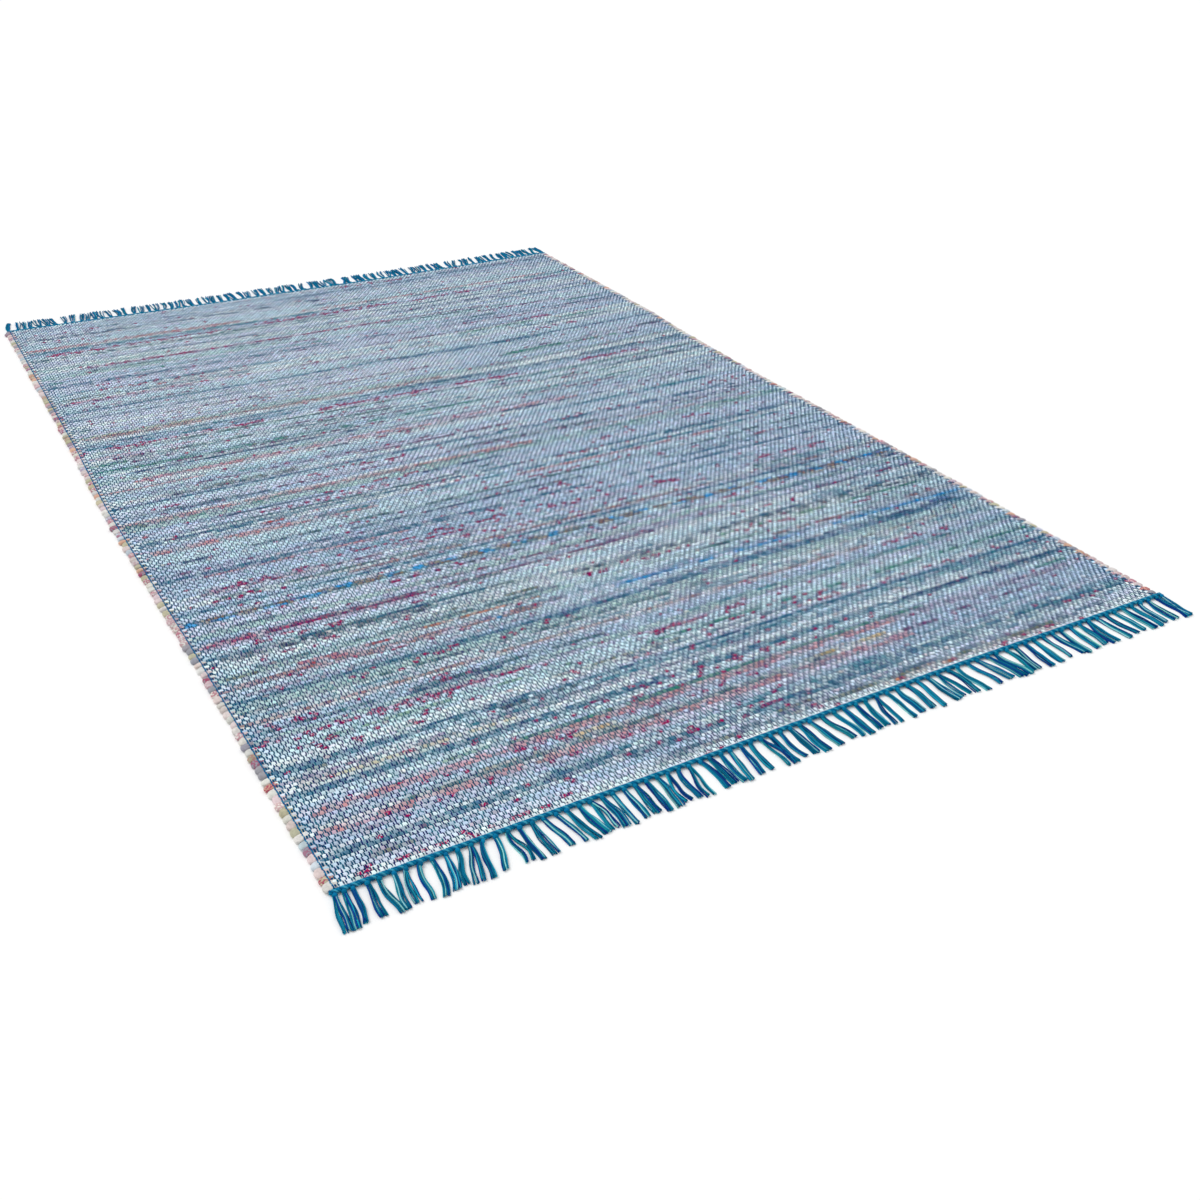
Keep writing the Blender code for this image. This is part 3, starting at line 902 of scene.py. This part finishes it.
def build_floats(name, first_end, last_end, yarn_colours, rng, material):
    """The floats of the warp ends between two ends, two yarns side by side, as one mesh."""
    picks, ends, twins = np.meshgrid(
        np.arange(PICKS), np.arange(first_end, last_end), np.arange(2), indexing="ij"
    )
    over = ((picks + ends) % 2 == 1) & (ends > 0) & (ends < ENDS - 1)
    picks, ends, twins = picks[over], ends[over], twins[over]
    count = len(picks)
    yarn_x = np.where(twins == 0, -PAIR_HALF_GAP, PAIR_HALF_GAP)
    yarn_x = yarn_x + rng.normal(0.0, FLOAT_SHIFT_VARIES, count)
    lean = rng.normal(0.0, FLOAT_SHIFT_VARIES, count)
    middle_x, middle_y = cloth_place(ends.astype(float), picks + 0.5)
    middle_y = middle_y + rng.normal(0.0, RAG_SWAY[1], count)
    near_reach = np.minimum(FLOAT_REACH, picks + 0.5)
    far_reach = np.minimum(FLOAT_REACH, PICKS - picks - 0.5)
    near_x, near_y = cloth_place(ends.astype(float), picks + 0.5 - near_reach)
    far_x, far_y = cloth_place(ends.astype(float), picks + 0.5 + far_reach)
    rise = rng.normal(0.0, FLOAT_RISE_VARIES, count)
    from_side = np.minimum(ends, ENDS - 1 - ends)
    half = FLOAT_WIDTH / 2.0 * (1.0 + SIDE_FLOAT_GAIN * np.exp(-from_side / SIDE_FLOAT_ENDS))
    near = np.stack([near_x + yarn_x - lean, near_y, FLOAT_TOP_Z - FLOAT_FALL * near_reach], -1)
    left = np.stack([middle_x + yarn_x - half, middle_y, np.full(count, FLOAT_EDGE_Z)], -1)
    crest = np.stack([middle_x + yarn_x, middle_y, FLOAT_TOP_Z + rise], -1)
    right = np.stack([middle_x + yarn_x + half, middle_y, np.full(count, FLOAT_EDGE_Z)], -1)
    far = np.stack([far_x + yarn_x + lean, far_y, FLOAT_TOP_Z - FLOAT_FALL * far_reach], -1)
    points = np.stack([near, left, crest, right, far], 1)
    map_x, map_y = np.array(FLOAT_MAP).T
    number = np.arange(count * len(FLOAT_MAP)).reshape(count, -1)
    faces = np.concatenate([number[:, corners] for corners in FLOAT_FACES])
    yarns = 2 * (last_end - first_end)
    yarn = 2 * (ends - first_end) + twins
    places = np.stack([(yarn[:, None] + map_x) / yarns, (picks[:, None] + map_y) / PICKS], -1)
    side_share = np.exp(-from_side / SIDE_FLOAT_ENDS)[:, None]
    dye = yarn_colours[2 * ends + twins] * (1.0 - side_share) + linear(SIDE_COLOUR) * side_share
    colours = np.repeat(vary(rng, dye, FLOAT_DYE_VARIES), len(FLOAT_MAP), axis=0)
    return mesh_piece(name, points.reshape(-1, 3), [faces], material, colours, places.reshape(-1, 2))


def build_ground(name, dyes, material):
    """The closed sheet under the weave, with a ridge for each pick on its underside."""
    ends = np.linspace(0.0, ENDS - 1.0, GROUND_COLUMNS)
    rows = np.arange(2 * PICKS + 1) / 2.0
    pick, end = np.meshgrid(rows, ends, indexing="ij")
    x, y = cloth_place(end, pick)
    outwards = np.where(end == 0.0, -1.0, np.where(end == ENDS - 1.0, 1.0, 0.0))
    x = x + outwards * (SELVEDGE_WIDTH - GROUND_INSET)
    ridge = (np.arange(2 * PICKS + 1) % 2 == 1)[:, None]
    low = np.where(ridge, GROUND_RIDGE_Z, GROUND_VALLEY_Z) * np.ones_like(x)
    upper = np.stack([x, y, np.full_like(x, GROUND_TOP_Z)], -1)
    lower = np.stack([x, y, low], -1)
    points = np.stack([upper, lower]).reshape(-1, 3)
    number = np.arange(points.shape[0]).reshape(2, 2 * PICKS + 1, GROUND_COLUMNS)
    top, under = number

    def quads(grid):
        return np.stack([grid[:-1, :-1], grid[:-1, 1:], grid[1:, 1:], grid[1:, :-1]], -1).reshape(-1, 4)

    rim = np.concatenate([top[0, :-1], top[:-1, -1], top[-1, :0:-1], top[:0:-1, 0]])
    below = np.concatenate([under[0, :-1], under[:-1, -1], under[-1, :0:-1], under[:0:-1, 0]])
    wall = np.stack([rim, below, np.roll(below, -1), np.roll(rim, -1)], -1)
    row_pick = np.minimum(np.arange(2 * PICKS + 1) // 2, PICKS - 1)
    column_end = np.round(ends).astype(int)
    colour = dyes[row_pick][:, column_end, :3].reshape(-1, 3)
    return mesh_piece(
        name, points, [quads(top), quads(under)[:, ::-1], wall], material, np.concatenate([colour, colour])
    )


def build_selvedge(name, side, rng, material):
    """The rags' turning loops down one side, each a rounded lump: side is -1 at left and 1 at right."""
    starts = np.arange(0, PICKS, PICKS_IN_LOOP).astype(float)
    stops = np.minimum(starts + PICKS_IN_LOOP, PICKS)
    end = 0.0 if side < 0 else ENDS - 1.0
    middle = (starts + stops) / 2.0
    yarn_x, middle_y = cloth_place(np.full_like(middle, end), middle)
    half = (stops - starts) / 2.0 * RULER_PICK + LOOP_OVERLAP
    share, girth, height = np.array(LOOP_STATIONS).T
    count, stations = len(starts), len(share)
    tip = SELVEDGE_WIDTH + LOOP_REACH + rng.normal(0.0, LOOP_REACH_VARIES, count)
    out = tip[:, None] - (tip[:, None] + LOOP_ROOT - SELVEDGE_WIDTH) * share
    angle = TURN * np.arange(LOOP_SIDES) / LOOP_SIDES
    phase = rng.uniform(0.0, TURN, (count, 1, 1))
    fold = 1.0
    for depth, folds, turn, along in LOOP_FOLDS:
        fold = fold + depth * np.sin(folds * angle + turn * phase + along * share[:, None])
    beside = np.sign(np.cos(angle)) * np.abs(np.cos(angle)) ** LOOP_SQUARENESS
    above = np.sign(np.sin(angle)) * np.abs(np.sin(angle)) ** LOOP_SQUARENESS
    size = half * (1.0 + rng.normal(0.0, LOOP_SIZE_VARIES, count))
    y = middle_y[:, None, None] + size[:, None, None] * (girth[:, None] * beside) * fold
    y = y + (LOOP_SLANT * (share - LOOP_SLANT_PIVOT))[:, None]
    z = LOOP_MIDDLE_Z + LOOP_HALF_HEIGHT * (height[:, None] * above) * fold
    z = np.maximum(z, 0.0)
    x = np.broadcast_to(yarn_x[:, None, None] + side * out[:, :, None], z.shape)
    points = np.stack([x, y, z], -1)
    number = np.arange(count * stations * LOOP_SIDES).reshape(count, stations, LOOP_SIDES)
    here, beyond = number[:, :-1], number[:, 1:]
    walls = np.stack([here, beyond, np.roll(beyond, -1, 2), np.roll(here, -1, 2)], -1).reshape(-1, 4)
    caps = np.concatenate([number[:, 0], number[:, -1, ::-1]])
    if side > 0:
        walls, caps = walls[:, ::-1], caps[:, ::-1]
    dye = linear([colour for colour, _share in LOOP_COLOURS])[pick_of(rng, LOOP_COLOURS, count)]
    dye = vary(rng, dye, LOOP_DYE_VARIES)
    fleck = (rng.random(count) < LOOP_PRINTED) * rng.uniform(*LOOP_PRINT_SHOWS, count)
    colours = np.repeat(np.concatenate([dye, 1.0 - fleck[:, None]], 1), stations * LOOP_SIDES, axis=0)
    return mesh_piece(name, points.reshape(-1, 3), [walls, caps], material, colours)


def build_edge_yarn(name, side, material):
    """The two-ply yarn down one side of the weave."""
    end = 0.0 if side < 0 else ENDS - 1.0
    rings = int(FLAT_SIZE[1] / EDGE_YARN_STEP)
    pick = np.linspace(0.0, PICKS, rings)
    x, y = cloth_place(np.full_like(pick, end), pick)
    lines, colours = [], []
    for number, colour in enumerate(EDGE_COLOURS):
        angle = TURN * (pick * RULER_PICK / EDGE_YARN_TWIST + number / len(EDGE_COLOURS))
        wave = EDGE_YARN_WAVE * np.sin(TURN * pick / PICKS_IN_LOOP)
        lines.append(np.stack([
            x + EDGE_YARN_TWIST_RADIUS * np.cos(angle) + wave,
            y,
            EDGE_YARN_Z[side] + EDGE_YARN_TWIST_RADIUS * np.sin(angle),
        ], -1))
        colours.append(np.tile(linear(colour), (rings * YARN_SIDES, 1)))
    radii = np.full((len(lines), rings), EDGE_YARN_RADIUS)
    points, groups = tubes(np.array(lines), radii, YARN_SIDES)
    return mesh_piece(name, points, groups, material, np.concatenate(colours))


def header_y(x, end_column, outwards, out):
    """Y on a header, a distance out from the cloth's end."""
    return column_at(END_LINES, x, end_column) + outwards * (PARTING + out)


def build_header(name, end_column, outwards, root_x, rng, material):
    """The rope along one end of the cloth, with a knot where each lock is drawn through it."""
    rings = int((HEADER_RIGHT_X - HEADER_LEFT_X) / STRAND_STEP)
    x = np.linspace(HEADER_LEFT_X, HEADER_RIGHT_X, rings)
    y = header_y(x, end_column, outwards, HEADER_OUT)
    lines, colours = [], []
    for number, colour in enumerate(HEADER_COLOURS):
        angle = TURN * (x / STRAND_TWIST + number / STRANDS)
        lines.append(np.stack([
            x, y + STRAND_TWIST_RADIUS * np.cos(angle), HEADER_Z + STRAND_TWIST_RADIUS * np.sin(angle),
        ], -1))
        colours.append(np.tile(linear(colour), (rings * STRAND_SIDES, 1)))
    swell_turn = TURN * x / STRAND_SWELL_LENGTH + np.arange(STRANDS)[:, None] * STRAND_SWELL_TURN
    radii = STRAND_RADIUS * (1.0 + STRAND_SWELL * np.sin(swell_turn))
    radii[:, [0, -1]] *= STRAND_END_SHARE
    points, groups = tubes(np.array(lines), radii, STRAND_SIDES)
    points[:, 2] = HEADER_Z + (points[:, 2] - HEADER_Z) * HEADER_FLATNESS
    knot_points, knot_faces = build_knots(root_x, end_column, outwards, rng)
    knot_colours = vary(rng, np.tile(linear(HEADER_COLOURS[1]), (len(root_x), 1)), YARN_DYE_VARIES)
    per_knot = len(knot_points) // len(root_x)
    return mesh_piece(
        name,
        np.concatenate([points, knot_points]),
        groups + [knot_faces[0] + len(points), knot_faces[1] + len(points)],
        material,
        np.concatenate(colours + [np.repeat(knot_colours, per_knot, axis=0)]),
    )


def build_knots(root_x, end_column, outwards, rng):
    """Points and faces of a small rounded knot at the root of each lock."""
    count = len(root_x)
    y = header_y(root_x, end_column, outwards, HEADER_WIDTH + KNOT_OUT)
    lean = rng.normal(0.0, KNOT_LEAN_VARIES, count)
    share = np.array(KNOT_STATIONS)
    lines = np.stack([
        root_x[:, None] + lean[:, None] * share,
        y[:, None] + KNOT_SIZE[1] * share,
        np.full((count, len(share)), HEADER_Z),
    ], -1)
    radii = KNOT_SIZE[0] * np.sqrt(1.0 - share ** 2) * (1.0 + rng.normal(0.0, KNOT_SIZE_VARIES, (count, 1)))
    points, faces = tubes(lines, radii, KNOT_SIDES)
    points[:, 2] = HEADER_Z + (points[:, 2] - HEADER_Z) * KNOT_SIZE[2] / KNOT_SIZE[0]
    points[:, 2] = np.maximum(points[:, 2], 0.0)
    return points, faces


def lock_waves(lock, waves):
    """Uneven difference of one lock from the next, from a table of waves."""
    return sum(size * np.sin(step * lock + start) for size, step, start in waves)


def lock_places(roots, falls, wide):
    """Root x, cut end's x, cut end's width and length of each lock, left to right."""
    lock = np.arange(roots[-1][0] + 1)
    root_x = column_at(roots, lock, 1) + lock_waves(lock, ROOT_WAVES)
    cut_x = root_x + column_at(falls, lock, 1) * MM
    away = np.abs(cut_x[:, None] - cut_x)
    np.fill_diagonal(away, 1.0)
    wanted = LOCK_CUT_WIDTH + lock_waves(lock, WIDTH_WAVES)
    width = np.minimum(wanted, away.min(1) + LOCK_OVERLAP)
    for number, millimetres in wide:
        width[number] = millimetres * MM
    length = LOCK_LENGTH + lock_waves(lock, LENGTH_WAVES)
    return root_x, cut_x, width, length


def build_fringe(name, end_column, outwards, places, parted, stray, dyes, rng, material):
    """One end's locks, each a bundle of yarns that leaves its knot and spreads to its cut end."""
    root_x, cut_x, width, length = places
    yarn_stray, lock_stray, length_varies = stray
    count = len(root_x)
    along = np.linspace(0.0, 1.0, YARN_RINGS)
    yarn = np.arange(YARNS) - (YARNS - 1) / 2.0
    layer = np.arange(YARNS) % 2
    gap = np.zeros(count)
    for lock, millimetres in parted:
        gap[lock] = millimetres * MM
    order = np.argsort(yarn + rng.normal(0.0, YARN_ORDER_VARIES, (count, YARNS)), axis=1)
    final = np.argsort(order, axis=1) - (YARNS - 1) / 2.0
    start = yarn * YARN_ROOT_SPACING
    room = np.maximum(width - 2.0 * YARN_RADIUS, YARNS * YARN_LEAST_SPACING)
    spread = final / (YARNS - 1) * room[:, None] + np.sign(final) * gap[:, None] / 2.0
    ease = smooth(along / SPREAD_LENGTH)
    offset = start[None, :, None] * (1.0 - ease) + spread[:, :, None] * ease
    bow = rng.normal(0.0, BOWS_VARY[0], (count, 1, 1)) * np.sin(math.pi * along)
    bow = bow + rng.normal(0.0, BOWS_VARY[1], (count, 1, 1)) * np.sin(TURN * along)
    lean = rng.normal(0.0, yarn_stray, (count, YARNS, 1)) + rng.normal(0.0, lock_stray, (count, 1, 1))
    lean[[0, -1]] = 0.0
    phase = rng.uniform(0.0, TURN, (count, YARNS, 1))
    wiggle = WIGGLE * np.sin(TURN * WIGGLES * along + phase) * np.sqrt(along) + lean * along
    x = root_x[:, None, None] + (cut_x - root_x)[:, None, None] * along + offset + bow + wiggle
    own_length = length[:, None] * (1.0 - np.abs(rng.normal(0.0, length_varies, (count, YARNS))))
    from_y = header_y(root_x, end_column, outwards, YARN_OUT)
    y = from_y[:, None, None] + outwards * own_length[:, :, None] * along
    settle = smooth(along / SETTLE_LENGTH)
    lower = YARN_ROOT_Z[0] * (1.0 - settle) + YARN_LOW_Z * settle
    upper = YARN_ROOT_Z[1] * (1.0 - settle) + (YARN_LOW_Z + LAYER_RISE) * settle
    ripple = RIPPLE * np.sin(RIPPLE_TURNS[0] * phase + RIPPLE_TURNS[1] * along)
    z = np.maximum(np.where(layer[None, :, None] == 0, lower, upper) + ripple, YARN_LOW_Z)
    lines = np.stack([x, y, z], -1).reshape(count * YARNS, YARN_RINGS, 3)
    thinner, thin_to = ROOT_THINNER
    thicker, thick_from = CUT_THICKER
    taper = 1.0 - thinner * (1.0 - smooth(along / thin_to))
    taper = taper + thicker * smooth((along - thick_from) / (1.0 - thick_from))
    radii = YARN_RADIUS * taper * (1.0 + rng.normal(0.0, YARN_RADIUS_VARIES, (count * YARNS, 1)))
    points, groups = tubes(lines, radii, YARN_SIDES)
    points[:, 2] = np.maximum(points[:, 2], FLOOR_GAP)
    order = np.argsort(rng.random((count, YARNS)), axis=1)
    dye = linear(dyes)[order].reshape(-1, 3)
    colours = np.repeat(vary(rng, dye, YARN_DYE_VARIES), YARN_RINGS * YARN_SIDES, axis=0)
    return mesh_piece(name, points, groups, material, colours)


class Shading:
    """A material's nodes, added one by one."""

    def __init__(self, name):
        self.material = bpy.data.materials.new(name)
        self.material.use_nodes = True
        self.tree = self.material.node_tree
        self.surface = self.tree.nodes["Principled BSDF"]

    def add(self, kind, inputs=(), **settings):
        node = self.tree.nodes.new(kind)
        for name, value in settings.items():
            setattr(node, name, value)
        for socket, value in dict(inputs).items():
            self.give(node.inputs[socket], value)
        return node

    def give(self, socket, value):
        if isinstance(value, bpy.types.NodeSocket):
            self.tree.links.new(value, socket)
        else:
            socket.default_value = value

    def math(self, operation, first, second=0.0):
        node = self.add("ShaderNodeMath", operation=operation)
        self.give(node.inputs[0], first)
        self.give(node.inputs[1], second)
        return node.outputs[0]

    def remap(self, value, source, target):
        node = self.add("ShaderNodeMapRange", {"Value": value})
        for socket, number in zip(("From Min", "From Max", "To Min", "To Max"), source + target):
            node.inputs[socket].default_value = number
        return node.outputs[0]

    def stretched(self, scale):
        where = self.add("ShaderNodeTexCoord").outputs["Object"]
        return self.add("ShaderNodeMapping", {"Vector": where, "Scale": scale}).outputs["Vector"]

    def noise(self, pattern, stretch=(1.0, 1.0, 1.0)):
        scale, detail = pattern
        inputs = {"Vector": self.stretched(stretch), "Scale": scale, "Detail": detail}
        return self.add("ShaderNodeTexNoise", inputs).outputs["Fac"]

    def mix(self, kind, share, first, second):
        node = self.add("ShaderNodeMix", data_type="RGBA", blend_type=kind)
        self.give(node.inputs[0], share)
        self.give(node.inputs[6], first)
        self.give(node.inputs[7], second)
        return node.outputs[2]

    def scaled(self, colour, factor):
        node = self.add("ShaderNodeVectorMath", operation="SCALE")
        self.give(node.inputs[0], colour)
        self.give(node.inputs["Scale"], factor)
        return node.outputs[0]

    def finish(self, colour, height, roughness, sheen, shine, distance):
        bump = self.add("ShaderNodeBump", {"Height": height, "Distance": distance, "Strength": 1.0})
        self.give(self.surface.inputs["Base Color"], colour)
        self.give(self.surface.inputs["Roughness"], roughness)
        self.give(self.surface.inputs["Normal"], bump.outputs[0])
        self.surface.inputs["Sheen Weight"].default_value = sheen
        self.surface.inputs["Sheen Roughness"].default_value = SHEEN_ROUGHNESS
        self.surface.inputs["Specular IOR Level"].default_value = shine
        return self.material


def rag_material(name, stretches):
    """Cotton rag: crumpled folds and fine threads, with painted shade in their creases and painted light on
    their tops, and red flecks where its print shows.
    """
    shade = Shading(name)
    dye = shade.add("ShaderNodeAttribute", attribute_name="dye")
    folds = shade.noise(FOLDS, stretches[0])
    threads = shade.noise(THREADS, stretches[1])
    # Where the folds and threads sink the bump the dye turns darker, and where they raise it lighter:
    # painted shade in the creases, painted light on the tops.
    fold_painted_shading = shade.remap(folds, NOISE_RANGE, FOLD_PAINTED_SHADING)
    thread_painted_shading = shade.remap(threads, NOISE_RANGE, THREAD_PAINTED_SHADING)
    plain = shade.scaled(dye.outputs["Color"], shade.math("MULTIPLY", fold_painted_shading, thread_painted_shading))
    spots = shade.noise(SPOTS)
    printed = shade.math("SUBTRACT", 1.0, dye.outputs["Alpha"])
    fleck = shade.math("MULTIPLY", shade.remap(spots, FLECK_EDGE, (0.0, 1.0)), printed)
    colour = shade.mix("MIX", fleck, plain, (*linear(FLECK_COLOUR), 1.0))
    height = shade.math("ADD", folds, shade.math("MULTIPLY", threads, THREAD_BUMP))
    return shade.finish(colour, height, *RAG_SURFACE)


def ground_material():
    """The cloth's underside: the same weave, as rounded lengths of rag between dark warp ends, with painted
    shade in the gaps between the picks and in the folds' creases.
    """
    shade = Shading("rag_ground")
    dye = shade.add("ShaderNodeAttribute", attribute_name="dye").outputs["Color"]
    where = shade.add("ShaderNodeTexCoord").outputs["Object"]
    weave = shade.add("ShaderNodeTexBrick", {"Vector": where, "Scale": 1.0}, offset=0.5, squash=1.0)
    spacing = (FLAT_SIZE[0] - 2.0 * SELVEDGE_WIDTH) / (ENDS - 1)
    for socket, value in (
        ("Brick Width", 2.0 * spacing), ("Row Height", RULER_PICK), ("Mortar Size", UNDERSIDE_GAP),
        ("Mortar Smooth", UNDERSIDE_GAP_BLUR),
    ):
        weave.inputs[socket].default_value = value
    # The gap lines in the warp's dark colour stand for the warp ends across each pick, and between the picks
    # for painted shade.
    gap = weave.outputs["Fac"]
    folds = shade.noise(FOLDS, WOVEN_STRETCHES[0])
    warp = (*linear(WARP_COLOURS[0][0]), 1.0)
    # The folds' noise darkens the rag where it sinks the bump: painted shade in the creases, painted light
    # on the fold tops.
    rag = shade.scaled(dye, shade.remap(folds, NOISE_RANGE, UNDERSIDE_PAINTED_SHADING))
    colour = shade.mix("MIX", gap, rag, warp)
    height = shade.math("SUBTRACT", shade.math("MULTIPLY", folds, FOLD_BUMP), gap)
    return shade.finish(colour, height, *GROUND_SURFACE)


def yarn_material(name, yarn):
    """Cotton yarn: its dye, with a fine twist and fuzz across it, and painted shade in the twist's grooves
    and painted light on its ridges.
    """
    twist, stretch, distance = yarn
    shade = Shading(name)
    dye = shade.add("ShaderNodeAttribute", attribute_name="dye").outputs["Color"]
    vector = shade.stretched(stretch)
    inputs = {"Vector": vector, "Scale": twist, "Distortion": PLY_DISTORTION, "Detail": 1.0}
    ply = shade.add("ShaderNodeTexWave", inputs, bands_direction="DIAGONAL").outputs["Fac"]
    fuzz = shade.noise(FUZZ)
    # The ply and fuzz darken the dye where they sink the bump and lighten it where they raise it: painted
    # shading of the twist.
    ply_painted_shading = shade.remap(ply, (0.0, 1.0), PLY_PAINTED_SHADING)
    fuzz_painted_shading = shade.remap(fuzz, NOISE_RANGE, FUZZ_PAINTED_SHADING)
    colour = shade.scaled(dye, shade.math("MULTIPLY", ply_painted_shading, fuzz_painted_shading))
    height = shade.math("ADD", ply, shade.math("MULTIPLY", fuzz, FUZZ_BUMP))
    return shade.finish(colour, height, *YARN_SURFACE, distance)


def build_rug():
    """All the rug's pieces, given to the body, with the solids that they stand for hidden."""
    rag = rag_material("rag_weave", WOVEN_STRETCHES)
    loop = rag_material("rag_loops", LOOP_STRETCHES)
    ground = ground_material()
    warp = yarn_material("warp_floats", FLOAT_YARN)
    fringe = yarn_material("fringe_yarns", FRINGE_YARN)
    cord = yarn_material("header_yarns", CORD_YARN)

    rng = np.random.default_rng(SEED)
    dyes = rag_dyes(rng)
    yarns = pick_of(rng, WARP_COLOURS, 2 * ENDS)
    yarn_colours = linear([colour for colour, _share in WARP_COLOURS])[yarns]

    sheet = build_ground("cloth_ground", dyes, ground)
    cloth = []
    strip_ends = np.linspace(0, ENDS, STRIPS + 1).astype(int)
    for number, (first, last) in enumerate(zip(strip_ends, strip_ends[1:]), 1):
        cloth.append(build_rags(f"rag_picks_{number}", first, last, dyes, rng, rag))
        cloth.append(build_floats(f"warp_floats_{number}", first, last, yarn_colours, rng, warp))
    cloth.append(build_selvedge("selvedge_loops_left", -1, rng, loop))
    cloth.append(build_selvedge("selvedge_loops_right", 1, rng, loop))
    cloth.append(build_edge_yarn("edge_yarn_left", -1, cord))
    cloth.append(build_edge_yarn("edge_yarn_right", 1, cord))

    ends = []
    near = (NEAR_ROOTS, NEAR_FALLS, NEAR_WIDE, NEAR_PARTED, NEAR_STRAY, NEAR_LOCK_COLOURS)
    far = (FAR_ROOTS, FAR_FALLS, FAR_WIDE, FAR_PARTED, FAR_STRAY, FAR_LOCK_COLOURS)
    for side, end_column, outwards, tables in (("near", 1, -1.0, near), ("far", 2, 1.0, far)):
        roots, falls, wide, parted, stray, colours = tables
        places = lock_places(roots, falls, wide)
        header = build_header(f"header_cord_{side}", end_column, outwards, places[0], rng, cord)
        locks = build_fringe(
            f"fringe_locks_{side}", end_column, outwards, places, parted, stray, colours, rng, fringe,
        )
        for piece in (header, locks):
            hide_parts(f"fringe_{side}")
            ends.append(piece)
    for piece in [sheet] + cloth:
        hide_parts("rag_cloth")
    for piece in [sheet] + cloth + ends:
        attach(piece, BODY)


def build_stage():
    """A plain near-white floor under soft light."""
    bpy.ops.mesh.primitive_plane_add(size=FLOOR_SIZE, location=(0.0, 0.0, 0.0))
    floor = bpy.context.object
    floor.name = "floor"
    shade = Shading("floor_white")
    shade.surface.inputs["Base Color"].default_value = (FLOOR_WHITE, FLOOR_WHITE, FLOOR_WHITE, 1.0)
    shade.surface.inputs["Roughness"].default_value = 1.0
    shade.surface.inputs["Specular IOR Level"].default_value = 0.0
    floor.data.materials.append(shade.material)

    world = bpy.data.worlds.new("studio")
    world.use_nodes = True
    sky = world.node_tree.nodes["Background"]
    sky.inputs["Color"].default_value = (1.0, 1.0, 1.0, 1.0)
    sky.inputs["Strength"].default_value = SKY_STRENGTH
    bpy.context.scene.world = world

    lamp = bpy.data.lights.new("window", "SUN")
    lamp.angle = math.radians(WINDOW_SPREAD)
    lamp.energy = WINDOW_STRENGTH
    window = bpy.data.objects.new("window", lamp)
    window.rotation_euler = [math.radians(degrees) for degrees in WINDOW_TILT]
    bpy.context.scene.collection.objects.link(window)
    bpy.context.scene.view_settings.view_transform = "Standard"


def build_camera():
    """The photograph's view: from the near left corner, looking down across the rug."""
    data = bpy.data.cameras.new("view")
    data.lens = CAMERA_LENS
    data.sensor_width = CAMERA_SENSOR
    camera = bpy.data.objects.new("view", data)
    place = Matrix.Translation(CAMERA_PLACE)
    turn = Matrix.Rotation(math.radians(CAMERA_TURN), 4, "Z")
    tip = Matrix.Rotation(math.radians(CAMERA_TIP), 4, "X")
    roll = Matrix.Rotation(math.radians(CAMERA_ROLL), 4, "Z")
    camera.matrix_world = place @ turn @ tip @ roll
    bpy.context.scene.collection.objects.link(camera)
    bpy.context.scene.camera = camera


build_camera()
build_rug()
build_stage()
